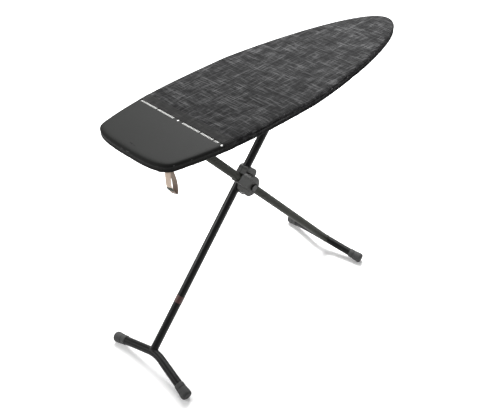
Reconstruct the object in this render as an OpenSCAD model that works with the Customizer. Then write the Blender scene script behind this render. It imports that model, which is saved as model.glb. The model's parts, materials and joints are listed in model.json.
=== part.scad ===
// Folding ironing board: padded mesh top on a scissor frame of two round legs.
// Millimetres, +Z up. X runs along the board with the nose at +X, Y across it.
// The floor is Z = 0 and the origin is under the middle of the whole object.

/* [Board] */
// Length of the ironing surface
board_l = 1350; // [1200:10:1500]
// Greatest width of the ironing surface
board_w = 450; // [380:5:500]
// Height of the ironing surface at the top notch
work_h = 1010; // [850:5:1120]
// Distance from the tail edge to the widest place
widest_at = 623; // [520:1:720]
// Radius that rounds each tail corner
tail_corner = 55; // [35:1:90]
// Depth of the cover's skirt below the ironing surface
skirt_depth = 29; // [26:1:36]
// Width of the hem that turns in under the rim
hem_w = 34; // [20:1:45]
// Thickness of the cover cloth
cover_t = 1.5; // [1:0.1:2.5]
// Thickness of the felt pad
pad_t = 5.8; // [3:0.1:8]
// Thickness of the steel top
deck_t = 1.5; // [1:0.1:2.5]
// Distance from the tail edge to the seam of the heat-resistant panel
heat_panel_l = 262; // [150:5:400]
// Width across the flats of each steam hole
steam_hole = 20; // [10:1:24]
// Distance between steam holes
steam_pitch = 44; // [36:1:60]

/* [Rim and rails] */
// Depth of the rim angle
rim_h = 18; // [12:1:20]
// Width of the rim's inward lip
rim_lip = 12; // [8:1:18]
// Sheet thickness of the rim, rails and tracks
sheet_t = 1.5; // [1:0.1:2]
// Width of each cross rail
rail_w = 24; // [16:1:34]
// Depth of each cross rail
rail_h = 12; // [8:1:14]

/* [Scissor frame] */
// Distance from the tail edge to the fixed hinge
hinge_inset = 200; // [150:5:260]
// Depth of the hinge and slider axes below the ironing surface
axle_drop = 45; // [43:0.5:55]
// Length of each leg from its top axis to the pivot
arm_top = 461; // [400:1:520]
// Length of each leg from the pivot to the line between its feet
arm_low = 795; // [700:1:860]
// Leg angle above level when the frame is folded
folded_a = 4.5; // [4.5:0.5:10]
// Least distance from the nose tip to the slider axle when the frame is folded
nose_stop = 165; // [150:5:220]
// Outside diameter of the leg tubes
leg_d = 32; // [26:1:36]
// Wall of the leg and foot tubes
leg_wall = 1.5; // [1:0.1:2.5]
// Outside diameter of the foot tubes
foot_d = 34; // [27:1:38]
// Distance of the tail-hinged leg from the middle, towards -Y
tail_leg_y = 36; // [30:1:45]
// Distance of the sliding leg from the middle, towards +Y
sliding_leg_y = 19; // [18:1:30]

/* [Feet] */
// Distance from the middle to the widest ring of each foot cap
foot_half = 206; // [160:1:220]
// Angle that each half of a foot tube turns down
foot_bend = 14; // [8:1:18]
// Bend radius in the middle of a foot tube
foot_bend_r = 150; // [90:5:220]
// Radius of a foot cap at its widest
cap_r = 22; // [19:0.5:26]
// Rounding of the cap's end
cap_round = 10; // [6:0.5:12]
// Length of a foot cap
cap_l = 60; // [45:1:70]
// Wear flat cut into each cap where it meets the floor
floor_flat = 0.8; // [0.4:0.1:1.5]

/* [Pivot] */
// Diameter of the pivot bolt
pivot_d = 10; // [8:1:12]
// Radius of the round hub on the tail-hinged leg
drum_r = 40; // [34:1:46]
// Length of the saddle above the pivot
saddle_up = 100; // [60:1:130]
// Wall of the saddle above and below the leg tube
saddle_wall = 2.5; // [2:0.5:6]
// Width of the raised edge round the saddle's groove
groove_edge = 2.5; // [2:0.5:5]
// Wall of the saddle's face and of the shells outside the leg tube
hub_wall = 4.5; // [4:0.5:8]
// Depth of the groove along the saddle
groove_depth = 3; // [2:0.5:3.5]
// Reach of the shells up the sliding leg from the pivot
shell_up = 62; // [50:1:80]
// Reach of the shells down the sliding leg from the pivot, under the leg
shell_down = 46; // [40:1:70]
// Reach of the shells down the sliding leg from the pivot, around the leg
shell_lap = 14; // [12:1:30]
// Reach of the shells past the leg's axis, towards the floor
shell_belly = 42; // [34:1:50]

/* [Hinge, slider and lever] */
// Length of the hinge cross tube
hinge_tube_l = 180; // [140:5:220]
// Outside diameter of the hinge cross tube
hinge_tube_d = 22; // [20:1:24]
// Diameter of the hinge pin
hinge_pin_d = 10; // [8:1:12]
// Diameter of the slider axle
axle_d = 12; // [10:1:13]
// Diameter of the glides that run in the tracks
glide_d = 20; // [19:0.5:22]
// Width of each glide
glide_w = 12; // [8:1:16]
// Gap between a glide and its track, above and below
glide_gap = 0.5; // [0.3:0.1:1]
// Distance from the middle to the open side of each track
track_in = 50; // [48:1:60]
// Distance from the slider axle to the lever's handle wire
lever_r = 45; // [38:1:48]
// Direction of the lever's handle below level
lever_a = 60; // [50:1:75]
// Diameter of the lever wire
lever_wire_d = 8; // [6:0.5:9]
// Reach of the lever's handle past the middle
lever_reach = 150; // [120:5:180]
// Number of height notches in each rack
notch_count = 7; // [5:1:9]

/* [Hanging loop] */
// Width of the webbing
loop_w = 20; // [14:1:25]
// Thickness of the webbing
loop_t = 2; // [1.5:0.1:3]
// Length that the loop hangs below the hem
loop_drop = 88; // [60:1:110]
// Greatest width of the loop, outside the webbing
loop_belly = 34; // [24:1:44]
// Angle that the loop is turned towards the corner
loop_turn = 20; // [0:1:30]
// Distance from the tail edge to the loop's outer strand
loop_inset = 29; // [26:1:40]
// Distance from the middle to the loop
loop_y = 150; // [110:1:160]

/* [Hidden] */
$fn = 64;

// Clearances
seat_gap = 0.2;
run_gap = 0.05;
press_gap = 0.02;
slip_gap = 0.5;
body_gap = 1;
// How far a cutting solid runs past what it cuts
over = 1;

// Levels of the layers, from the top down
cover_under_z = work_h - cover_t;
pad_top_z = cover_under_z - seat_gap;
pad_z = pad_top_z - pad_t;
deck_z = pad_z - deck_t;
rail_z = deck_z - rail_h;
rim_z = deck_z - rim_h;
hem_z = work_h - skirt_depth;
axle_z = work_h - axle_drop;

// Steps in from the board's edge
rim_inset = cover_t + 0.5;
rim_inner_inset = rim_inset + sheet_t;

// Leg angle that puts the cap flats on the floor
leg_l = arm_top + arm_low;
cap_core_r = cap_r - cap_round;
function cap_drop(a) = cap_core_r * sqrt(1 - pow(sin(foot_bend) * sin(a), 2)) + cap_round - floor_flat;
function leg_angle(n) = n == 0 ? 48 : asin((axle_z - cap_drop(leg_angle(n - 1))) / leg_l);
leg_a = leg_angle(6);

// Places along the board, from its middle
tail_x = -board_l / 2;
nose_x = board_l / 2;
widest_x = tail_x + widest_at;
hinge_x = tail_x + hinge_inset;
pivot_x = hinge_x + arm_top * cos(leg_a);
slider_x = hinge_x + 2 * arm_top * cos(leg_a);
stop_a = acos(min(1, (nose_x - nose_stop - hinge_x) / (2 * arm_top)));
slider_folded_x = hinge_x + 2 * arm_top * cos(max(folded_a, stop_a));
pivot_z = axle_z - arm_top * sin(leg_a);
seam_x = tail_x + heat_panel_l;

// The front foot reaches past the tail, so the middle of the whole object is worked out
front_foot_x = slider_x - leg_l * cos(leg_a) - cap_core_r * sqrt(1 - pow(sin(foot_bend) * cos(leg_a), 2))
    - cap_round;
middle_x = (front_foot_x + nose_x) / 2;

// Outline of the board: half width at x, from a nose curve, a tail taper and a rounded corner
nose_power = 1.3;
nose_root = 0.49;
tail_power = 3.2;
tail_taper = 0.285;
corner_power = 3;
function nose_share(x) = pow(1 - pow((x - widest_x) / (nose_x - widest_x), nose_power), nose_root);
function tail_share(x) = 1 - tail_taper * pow((widest_x - x) / (widest_x - tail_x), tail_power);
function corner_share(x) =
    x > tail_x + tail_corner ? 1
    : pow(1 - pow(1 - (x - tail_x) / tail_corner, corner_power), 1 / corner_power);
function half_w(x) = board_w / 2 * (x > widest_x ? nose_share(x) : tail_share(x)) * corner_share(x);

// Stations crowd together at both ends, where the outline turns
outline_steps = 44;
board_mid_x = (tail_x + nose_x) / 2;
stations = [for (i = [0 : outline_steps]) board_mid_x - board_l / 2 * cos(180 * i / outline_steps)];
edge = [for (x = stations) [x, x <= tail_x + 0.001 || x >= nose_x - 0.001 ? 0 : half_w(x)]];
function unit(v) = v / norm(v);
function edge_step(i) = edge[min(i + 1, outline_steps)] - edge[max(i - 1, 0)];
function edge_out(i) =
    i == 0 ? [-1, 0]
    : i == outline_steps ? [1, 0]
    : unit([-edge_step(i)[1], edge_step(i)[0]]);
function inset_edge(d) = [for (i = [0 : outline_steps]) edge[i] - d * edge_out(i)];
function mirrored(points) = [for (i = [len(points) - 2 : -1 : 1]) [points[i][0], -points[i][1]]];
function outline(d) = concat(inset_edge(d), mirrored(inset_edge(d)));

// Places of the cross rails, and of the tracks that two of them carry
tail_rail_inset = 75;
middle_rail_shift = 20;
front_rail_before = 14;
nose_rail_past = 16;
track_before = 30;
track_past = 32;
tail_rail_x = tail_x + tail_rail_inset;
middle_rail_x = (hinge_x + slider_x) / 2 + middle_rail_shift;
front_rail_x = slider_x - front_rail_before;
nose_rail_x = slider_folded_x + nose_rail_past;
track_from = slider_x - track_before;
track_to = slider_folded_x + track_past;

// Foot tube: two straight arms and one bend, in the plane of the leg
foot_arm_l = (foot_half - foot_bend_r * sin(foot_bend)) / cos(foot_bend);
foot_top = leg_l - foot_bend_r * (1 - cos(foot_bend)) - foot_arm_l * sin(foot_bend);
foot_centre = foot_top + foot_bend_r;
leg_r = leg_d / 2;
foot_r = foot_d / 2;

// Hub: the two halves meet between the legs, with a slip gap
hub_r = leg_r + hub_wall;
saddle_half = leg_r + saddle_wall;
groove_half = saddle_half - groove_edge;
groove_y = -tail_leg_y - hub_r + groove_depth;
hub_split_y = (sliding_leg_y - tail_leg_y) / 2;
shell_trim = 1;
shell_face_y = sliding_leg_y + hub_r - shell_trim;
bush_wall = 2;
bush_r = pivot_d / 2 + bush_wall;
bolt_head_r = pivot_d / 2 + 3;
bolt_head_t = 4;
washer_t = 1.5;
nut_t = 7;
nut_y = shell_face_y + slip_gap;
bolt_end_y = nut_y + washer_t + nut_t;

// Slider and lever
slider_tube_half = 40;
slider_tube_wall = 3;
slider_tube_r = axle_d / 2 + slider_tube_wall;
yoke_gap = 3;
yoke_y = slider_tube_half + yoke_gap;
yoke_t = 3;
track_clear = glide_d / 2 + glide_gap;
glide_side_gap = 2;
axle_end = 1;
glide_y = track_in + glide_side_gap;
track_out = glide_y + glide_w + glide_side_gap;
axle_half = glide_y + glide_w + axle_end;
lever_ring_wall = 5;
finger_lift = 1.5;
lever_ring_r = axle_d / 2 + lever_ring_wall;
lever_finger_r = lever_ring_r + finger_lift;
rack_z = axle_z + lever_finger_r + body_gap;
flange_w = 13;

module place() {
    translate([-middle_x, 0, 0]) children();
}

// Frame of the leg hinged near the tail: +X runs down the leg, +Z is its upper side
module on_tail_leg(y = 0) {
    place() translate([hinge_x, y, axle_z]) rotate([0, leg_a, 0]) children();
}

// Frame of the sliding leg: the same frame, mirrored towards the tail
module on_sliding_leg(y = 0) {
    place() translate([slider_x, y, axle_z]) mirror([1, 0, 0]) rotate([0, leg_a, 0]) children();
}

// Rod along Y between two places
module y_rod(r, y0, y1) {
    translate([0, y0, 0]) rotate([-90, 0, 0]) cylinder(h = y1 - y0, r = r);
}

// Rod along X between two places
module x_rod(r, x0, x1) {
    translate([x0, 0, 0]) rotate([0, 90, 0]) cylinder(h = x1 - x0, r = r);
}

module slab(inset, z0, z1) {
    translate([0, 0, z0]) linear_extrude(z1 - z0) polygon(outline(inset));
}

// ---- Board ----

module cover_shell() {
    difference() {
        slab(0, hem_z, work_h);
        slab(cover_t, hem_z + cover_t, cover_under_z);
        slab(hem_w, hem_z - over, hem_z + cover_t + over);
    }
}

module tail_side(x) {
    translate([tail_x - over, -board_w, hem_z - over])
        cube([x - tail_x + over, 2 * board_w, skirt_depth + 2 * over]);
}

module cover() {
    color("#3b3b3b") place() difference() {
        cover_shell();
        tail_side(seam_x);
    }
}

module heat_panel() {
    color("#4a4a4a") place() intersection() {
        cover_shell();
        tail_side(seam_x);
    }
}

module felt_pad() {
    color("#8d8d88") place() slab(rim_inset, pad_z, pad_top_z);
}

// Rows of a staggered pattern stand closer than its pitch by this share
row_share = sqrt(3) / 2;
steam_rows = floor((board_w / 2 - rim_lip - steam_hole) / (steam_pitch * row_share));
steam_cols = ceil(board_l / 2 / steam_pitch);
function hole_fits(p) =
    p[0] > tail_x + 3 * steam_hole && p[0] < nose_x - 2 * steam_hole
    && abs(p[1]) < min(half_w(p[0] - steam_hole), half_w(p[0] + steam_hole)) - rim_lip - steam_hole;
function hole_place(i, j) = [(i + (j % 2 == 0 ? 0 : 0.5)) * steam_pitch, j * steam_pitch * row_share];

module steel_top() {
    color("#5d6063") place() translate([0, 0, deck_z]) linear_extrude(deck_t) difference() {
        polygon(outline(rim_inset));
        for (i = [-steam_cols : steam_cols], j = [-steam_rows : steam_rows])
            if (hole_fits(hole_place(i, j))) translate(hole_place(i, j)) circle(d = steam_hole, $fn = 6);
    }
}

module rim_frame() {
    color("#5d6063") place() difference() {
        slab(rim_inset, rim_z, deck_z);
        slab(rim_inner_inset, rim_z + sheet_t, deck_z + over);
        slab(rim_inset + rim_lip, rim_z - over, deck_z + over);
    }
}

// Channel rail across the board, trimmed to the rim
module rail(x) {
    color("#5d6063") place() intersection() {
        slab(rim_inner_inset, rail_z, deck_z);
        translate([x - rail_w / 2, -board_w / 2, rail_z]) difference() {
            cube([rail_w, board_w, rail_h]);
            translate([sheet_t, -over, sheet_t])
                cube([rail_w - 2 * sheet_t, board_w + 2 * over, rail_h]);
        }
    }
}

module tail_rail() { rail(tail_rail_x); }
module hinge_rail() { rail(hinge_x); }
module middle_rail() { rail(middle_rail_x); }
module front_rail() { rail(front_rail_x); }
module nose_rail() { rail(nose_rail_x); }

cheek_gap = 2;
cheek_y = hinge_tube_l / 2 + cheek_gap;
cheek_t = 2.5;
cheek_w = 30;

module cheek_outline() {
    difference() {
        union() {
            translate([-cheek_w / 2, 0]) square([cheek_w, rail_z - cheek_t - axle_z]);
            circle(d = cheek_w);
        }
        circle(r = hinge_pin_d / 2 + press_gap);
    }
}

module hinge_bracket() {
    color("#2b2b2b") place() translate([hinge_x, 0, 0]) {
        for (side = [-1, 1])
            translate([0, side * (cheek_y + cheek_t / 2) + cheek_t / 2, axle_z])
                rotate([90, 0, 0]) linear_extrude(cheek_t) cheek_outline();
        translate([-cheek_w / 2, -cheek_y - cheek_t, rail_z - cheek_t])
            cube([cheek_w, 2 * (cheek_y + cheek_t), cheek_t]);
    }
}

pin_past = 4;
pin_end_y = cheek_y + cheek_t + pin_past;

module hinge_pin() {
    color("#b8b8b8") place() translate([hinge_x, 0, axle_z])
        y_rod(hinge_pin_d / 2, -pin_end_y, pin_end_y);
}

module ring(outer_r, inner_r, y0, y1) {
    difference() {
        y_rod(outer_r, y0, y1);
        y_rod(inner_r, y0 - over, y1 + over);
    }
}

clip_out = 1.5;
clip_wall = 3.5;
clip_half_t = 0.8;

module hinge_pin_clips() {
    color("#b8b8b8") place() translate([hinge_x, 0, axle_z]) for (side = [-1, 1])
        translate([0, side * (cheek_y + cheek_t + clip_out), 0])
            ring(hinge_pin_d / 2 + clip_wall, hinge_pin_d / 2 + press_gap, -clip_half_t, clip_half_t);
}

// Track section in the YZ plane: a channel for the glide, a web and a mounting flange
module track_section() {
    low = axle_z - track_clear;
    high = axle_z + track_clear;
    translate([track_out, low - sheet_t]) square([sheet_t, rail_z - low + sheet_t]);
    translate([track_in, low - sheet_t]) square([track_out - track_in + sheet_t, sheet_t]);
    translate([track_in, high]) square([track_out - track_in + sheet_t, sheet_t]);
    translate([track_out, rail_z - sheet_t]) square([flange_w, sheet_t]);
}

module track() {
    color("#4c4e50") translate([track_from, 0, 0]) rotate([90, 0, 90])
        linear_extrude(track_to - track_from) track_section();
}

module track_left() { place() track(); }
module track_right() { place() mirror([0, 1, 0]) track(); }

// Notched rack beside each track; the catch fingers pass just below its teeth
notch_pitch = (slider_folded_x - slider_x) / (notch_count - 1);
notch_r = 5;

module rack() {
    color("#6b6e70") translate([0, yoke_y + yoke_t, 0]) rotate([90, 0, 0]) linear_extrude(yoke_t)
        difference() {
            translate([track_from, rack_z]) square([track_to - track_from, rail_z - rack_z]);
            for (i = [0 : notch_count - 1])
                translate([slider_x + i * notch_pitch, rack_z]) circle(r = notch_r);
        }
}

module rack_left() { place() rack(); }
module rack_right() { place() mirror([0, 1, 0]) rack(); }

rivet_head_r = 4;
rivet_head_t = 1.5;

module track_rivets() {
    color("#b8b8b8") place() for (x = [front_rail_x, nose_rail_x], side = [-1, 1])
        translate([x, side * (track_out + (flange_w + sheet_t) / 2), rail_z - sheet_t - rivet_head_t])
            cylinder(h = rivet_head_t, r = rivet_head_r);
}

// Hanging loop: webbing below the hem, with a straight outer strand and a bowed inner one
loop_steps = 18;
// Above 1, the loop is widest below its middle
belly_power = 1.4;
function strand_x(s) = 2 * loop_t + (loop_belly - 2 * loop_t) * sin(180 * pow(s, belly_power));
loop_outer = concat([[0, 0], [0, loop_t - loop_drop], [loop_t, -loop_drop]],
    [for (i = [loop_steps : -1 : 0]) [strand_x(i / loop_steps), -loop_drop * i / loop_steps]]);
loop_inner = concat(
    [for (i = [1 : loop_steps - 1]) [loop_t, -loop_drop * i / loop_steps]],
    [for (i = [loop_steps - 1 : -1 : 1]) [strand_x(i / loop_steps) - loop_t, -loop_drop * i / loop_steps]]);

module on_loop() {
    place() translate([tail_x + loop_inset, -loop_y, hem_z]) rotate([0, 0, loop_turn]) rotate([90, 0, 0])
        children();
}

module hanging_loop() {
    color("#cdbfae") on_loop() linear_extrude(loop_w) difference() {
        polygon(loop_outer);
        polygon(loop_inner);
    }
}

patch_h = 14;
patch_t = 0.6;

module loop_patch() {
    color("#5c635c") on_loop() translate([-patch_t, patch_h - loop_drop, 0])
        cube([patch_t, patch_h, loop_w]);
}

// ---- Shapes that both legs share, each in the frame of its leg ----

// The leg tube starts this share of the cross tube's radius past its axis
cope_share = 0.4;

// Straight tube at y, coped over the cross tube at its top and the foot tube at its end
module leg_tube(y, cross_r) {
    difference() {
        translate([0, y, 0]) x_rod(leg_r, cross_r * cope_share, foot_top);
        translate([0, y, 0]) x_rod(leg_r - leg_wall, -over, foot_top + over);
        y_rod(cross_r, y - leg_d, y + leg_d);
        foot_solid(foot_r, cap_round);
    }
}

weld_lap = 0.05;

// Runs from end to end of a foot, short of each cap's widest ring by end_gap
module foot_solid(r, end_gap) {
    arm_end = foot_arm_l - end_gap;
    translate([foot_centre, 0, 0]) {
        rotate([0, 0, 180 - foot_bend]) rotate_extrude(angle = 2 * foot_bend)
            translate([foot_bend_r, 0]) circle(r = r);
        for (side = [-1, 1])
            rotate([0, 0, 180 - side * foot_bend]) translate([foot_bend_r, 0, 0])
                y_rod(r, side > 0 ? -arm_end : -weld_lap, side > 0 ? weld_lap : arm_end);
    }
}

module foot_tube() {
    difference() {
        foot_solid(foot_r, cap_round);
        foot_solid(foot_r - leg_wall, 0);
    }
}

// Half section of a cap: rounded end at the bottom, collar at the top, with a bore for the tube
groove_at = 38;
groove_w = 3;
groove_sink = 1;
collar_wall = 2;
collar_r = foot_r + collar_wall;
module cap_section() {
    difference() {
        union() {
            translate([cap_core_r, cap_round]) circle(r = cap_round);
            square([cap_core_r, cap_round]);
            polygon([[0, cap_round], [cap_r, cap_round], [collar_r, groove_at],
                [collar_r - groove_sink, groove_at], [collar_r - groove_sink, groove_at + groove_w],
                [collar_r, groove_at + groove_w], [collar_r, cap_l], [0, cap_l]]);
        }
        translate([0, 2 * cap_round]) square([foot_r + press_gap, cap_l]);
    }
}

module foot_cap(side) {
    translate([leg_l, side * foot_half, 0]) rotate([0, 0, side > 0 ? -foot_bend : 180 + foot_bend])
        translate([0, cap_round, 0]) rotate([90, 0, 0]) rotate_extrude() cap_section();
}

// Cuts the wear flat where a cap meets the floor
module above_floor() {
    intersection() {
        children();
        translate([-board_l, -board_w, 0]) cube([2 * board_l, 2 * board_w, 5 * cap_r]);
    }
}

// ---- Leg hinged near the tail, with the rear foot ----

module tail_leg_tube() {
    color("#42433d") on_tail_leg() difference() {
        leg_tube(-tail_leg_y, hinge_tube_d / 2);
        translate([arm_top, 0, 0]) y_rod(pivot_d / 2 + press_gap, -tail_leg_y - leg_d, -tail_leg_y + leg_d);
    }
}

hinge_tube_wall = 2;
bush_l = 14;

module hinge_tube() {
    color("#42433d") on_tail_leg()
        ring(hinge_tube_d / 2, hinge_tube_d / 2 - hinge_tube_wall, -hinge_tube_l / 2, hinge_tube_l / 2);
}

module hinge_bushes() {
    outer_r = hinge_tube_d / 2 - hinge_tube_wall - press_gap;
    color("#222222") on_tail_leg() for (side = [-1, 1])
        translate([0, side * (hinge_tube_l - bush_l) / 2, 0])
            ring(outer_r, hinge_pin_d / 2 + run_gap, -bush_l / 2, bush_l / 2);
}

module rear_foot_tube() { color("#303030") on_tail_leg() foot_tube(); }
module rear_cap_left() { color("#262626") above_floor() on_tail_leg() foot_cap(1); }
module rear_cap_right() { color("#262626") above_floor() on_tail_leg() foot_cap(-1); }

// The drum's near face and the saddle's far face, from the axis of the tail-hinged leg
drum_face = 9.6;
saddle_back = leg_r + 2;

// Bar with a round end at the pivot, between two values of y
module saddle_bar(half, y0, y1, x0) {
    translate([x0, y0, -half]) cube([arm_top - x0, y1 - y0, 2 * half]);
    translate([arm_top, 0, 0]) y_rod(half, y0, y1);
}

// Round drum and long saddle moulded around the leg, with a groove along the saddle's face
module hub_saddle() {
    top = arm_top - saddle_up;
    color("#35362f") on_tail_leg(-tail_leg_y) difference() {
        union() {
            translate([arm_top, 0, 0]) y_rod(drum_r, -drum_face, hub_split_y + tail_leg_y - slip_gap / 2);
            saddle_bar(saddle_half, -hub_r, saddle_back, top);
        }
        x_rod(leg_r + press_gap, top - over, arm_top + drum_r + over);
        saddle_bar(groove_half, -hub_r - over, -hub_r + groove_depth, top - over);
        translate([arm_top, 0, 0]) y_rod(pivot_d / 2 + press_gap, -leg_d, leg_d);
    }
}

module on_pivot() {
    place() translate([pivot_x, 0, pivot_z]) children();
}

module pivot_bolt() {
    color("#a8a8a8") on_pivot() {
        y_rod(pivot_d / 2, groove_y - bolt_head_t, bolt_end_y);
        y_rod(bolt_head_r, groove_y - bolt_head_t, groove_y);
    }
}

washer_r = pivot_d / 2 + 5;
nut_r = pivot_d / 2 + 4;

module pivot_nut() {
    color("#a8a8a8") on_pivot() {
        ring(washer_r, pivot_d / 2 + press_gap, nut_y, nut_y + washer_t);
        difference() {
            translate([0, bolt_end_y, 0]) rotate([90, 0, 0]) cylinder(h = nut_t, r = nut_r, $fn = 6);
            y_rod(pivot_d / 2 + press_gap, nut_y, bolt_end_y + over);
        }
    }
}

pivot_cap_wall = 4.5;
pivot_cap_r = bolt_head_r + pivot_cap_wall;
pivot_cap_t = 2.5;

module pivot_cap() {
    color("#202020") on_pivot() difference() {
        y_rod(pivot_cap_r, groove_y - bolt_head_t - pivot_cap_t, groove_y);
        y_rod(bolt_head_r + press_gap, groove_y - bolt_head_t, groove_y + over);
    }
}

// ---- Leg that slides under the nose, with the front foot ----

module sliding_leg_tube() {
    color("#151515") on_sliding_leg() difference() {
        leg_tube(sliding_leg_y, slider_tube_r);
        translate([arm_top, 0, 0]) y_rod(bush_r + press_gap, sliding_leg_y - leg_d, sliding_leg_y + leg_d);
    }
}

module slider_tube() {
    color("#151515") on_sliding_leg()
        ring(slider_tube_r, axle_d / 2 + press_gap, -slider_tube_half, slider_tube_half);
}

module slider_axle() { color("#a8a8a8") on_sliding_leg() y_rod(axle_d / 2, -axle_half, axle_half); }

module glide() { ring(glide_d / 2, axle_d / 2 + press_gap, glide_y, glide_y + glide_w); }
module glide_left() { color("#1e1e1e") on_sliding_leg() glide(); }
module glide_right() { color("#1e1e1e") on_sliding_leg() mirror([0, 1, 0]) glide(); }

module front_foot_tube() { color("#303030") on_sliding_leg() foot_tube(); }
module front_cap_left() { color("#262626") above_floor() on_sliding_leg() foot_cap(1); }
module front_cap_right() { color("#262626") above_floor() on_sliding_leg() foot_cap(-1); }

shell_round = 18;
shell_seat = 4;
screw_r = 2;
screw_head_r = 3.8;
screw_head_t = 2.5;
screw_l = 24;
screw_inset = 14;
screw_rise = 12;
screw_xs = [arm_top - shell_up + screw_inset, arm_top + shell_down - screw_inset];
screw_z = -shell_belly + screw_rise;

module rounded_plate(x0, x1, z0, z1, r) {
    translate([x0 + r, z0]) square([x1 - x0 - 2 * r, z1 - z0]);
    translate([x0, z0 + r]) square([x1 - x0, z1 - z0 - 2 * r]);
    for (x = [x0 + r, x1 - r], z = [z0 + r, z1 - r]) translate([x, z]) circle(r = r);
}

// Outline of the housing: round the leg above the pivot, and under it below the pivot
module shell_outline() {
    rounded_plate(arm_top - shell_up, arm_top + shell_lap, -shell_belly, hub_r, shell_round);
    rounded_plate(arm_top - shell_up, arm_top + shell_down, -shell_belly, -shell_seat, shell_round);
}

// One half of the housing around the sliding leg, between two values of y
module hub_shell(y0, y1) {
    x0 = arm_top - shell_up - over;
    x1 = arm_top + shell_down + over;
    difference() {
        translate([0, y1, 0]) rotate([90, 0, 0]) linear_extrude(y1 - y0) shell_outline();
        translate([0, sliding_leg_y, 0]) x_rod(leg_r + press_gap, x0, x1);
        translate([arm_top, 0, 0]) y_rod(bush_r + press_gap, y0 - over, y1 + over);
        for (x = screw_xs) translate([x, 0, screw_z]) {
            y_rod(screw_r + press_gap, shell_face_y - screw_l, shell_face_y);
            y_rod(screw_head_r + press_gap, shell_face_y - screw_head_t, shell_face_y + over);
        }
    }
}

module hub_shell_inner() {
    color("#35362f") on_sliding_leg() hub_shell(hub_split_y + slip_gap / 2, sliding_leg_y);
}

module hub_shell_outer() { color("#35362f") on_sliding_leg() hub_shell(sliding_leg_y, shell_face_y); }

module hub_screws() {
    color("#a8a8a8") on_sliding_leg() for (x = screw_xs) translate([x, 0, screw_z]) {
        y_rod(screw_r, shell_face_y - screw_l, shell_face_y - screw_head_t);
        y_rod(screw_head_r, shell_face_y - screw_head_t, shell_face_y);
    }
}

module pivot_bush() {
    color("#1e1e1e") on_pivot()
        ring(bush_r, pivot_d / 2 + run_gap, hub_split_y + slip_gap / 2, shell_face_y);
}

band_at = 500;
band_l = 30;
band_t = 0.5;

module leg_band() {
    color("#3a2320") on_sliding_leg() translate([0, sliding_leg_y, 0]) difference() {
        x_rod(leg_r + band_t, arm_top + band_at, arm_top + band_at + band_l);
        x_rod(leg_r + press_gap, arm_top + band_at - over, arm_top + band_at + band_l + over);
    }
}

// ---- Release lever, which turns on the slider axle ----

module on_slider() {
    place() translate([slider_x, 0, axle_z]) children();
}

arm_half_w = 5;
finger_half_w = 3;
boss_wall = 2.5;

// Plate in the XZ plane: a ring on the axle, an arm to the handle and a catch finger
module yoke_plate() {
    difference() {
        union() {
            circle(r = lever_ring_r);
            rotate([0, 0, -lever_a]) translate([0, -arm_half_w]) square([lever_r, 2 * arm_half_w]);
            rotate([0, 0, -lever_a]) translate([lever_r, 0]) circle(r = lever_wire_d / 2 + boss_wall);
            translate([-finger_half_w, 0]) square([2 * finger_half_w, lever_finger_r]);
        }
        circle(r = axle_d / 2 + run_gap);
        rotate([0, 0, -lever_a]) translate([lever_r, 0]) circle(r = lever_wire_d / 2 + press_gap);
    }
}

module lever_yoke() {
    color("#8a8d8f") on_slider() for (y = [yoke_y + yoke_t, -yoke_y])
        translate([0, y, 0]) rotate([90, 0, 0]) linear_extrude(yoke_t) yoke_plate();
}

wire_past = 2;
grip_l = 60;
grip_wall = 4;
grip_end = 3;
grip_r = lever_wire_d / 2 + grip_wall;

module on_handle() {
    on_slider() translate([lever_r * cos(lever_a), 0, -lever_r * sin(lever_a)]) children();
}

module lever_handle() {
    color("#8a8d8f") on_handle() y_rod(lever_wire_d / 2, -yoke_y - yoke_t - wire_past, lever_reach);
}

module lever_grip() {
    color("#1e1e1e") on_handle() difference() {
        y_rod(grip_r, lever_reach - grip_l, lever_reach + grip_end);
        y_rod(lever_wire_d / 2 + press_gap, lever_reach - grip_l - over, lever_reach);
    }
}

spring_wire_r = 0.9;
spring_coils = 6;
spring_inset = 2;
// Coils overlap a little, so that the spring is one solid
spring_pitch = 1.7 * spring_wire_r;

module lever_spring() {
    color("#b8b8b8") on_slider() translate([0, spring_inset - slider_tube_half, 0])
        rotate([-90, 0, 0]) rotate_extrude() for (i = [0 : spring_coils - 1])
            translate([slider_tube_r + 2 * spring_wire_r, i * spring_pitch])
                circle(r = spring_wire_r, $fn = 24);
}

cover();
heat_panel();
felt_pad();
steel_top();
rim_frame();
tail_rail();
hinge_rail();
middle_rail();
front_rail();
nose_rail();
hinge_bracket();
hinge_pin();
hinge_pin_clips();
track_left();
track_right();
rack_left();
rack_right();
track_rivets();
hanging_loop();
loop_patch();
tail_leg_tube();
hinge_tube();
hinge_bushes();
rear_foot_tube();
rear_cap_left();
rear_cap_right();
hub_saddle();
pivot_bolt();
pivot_nut();
pivot_cap();
sliding_leg_tube();
slider_tube();
slider_axle();
glide_left();
glide_right();
front_foot_tube();
front_cap_left();
front_cap_right();
hub_shell_inner();
hub_shell_outer();
hub_screws();
pivot_bush();
leg_band();
lever_yoke();
lever_handle();
lever_grip();
lever_spring();
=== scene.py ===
"""Looks of a folding ironing board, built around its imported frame.

Lengths are metres in the frame's axes: +X along the board to the nose, +Y across, +Z up.
"""

import json
import logging
import math
from dataclasses import dataclass, field
from enum import Enum
from typing import Iterable, Sequence

import bmesh
import bpy
import numpy as np
from mathutils import Matrix, Vector
from mathutils.bvhtree import BVHTree


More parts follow.
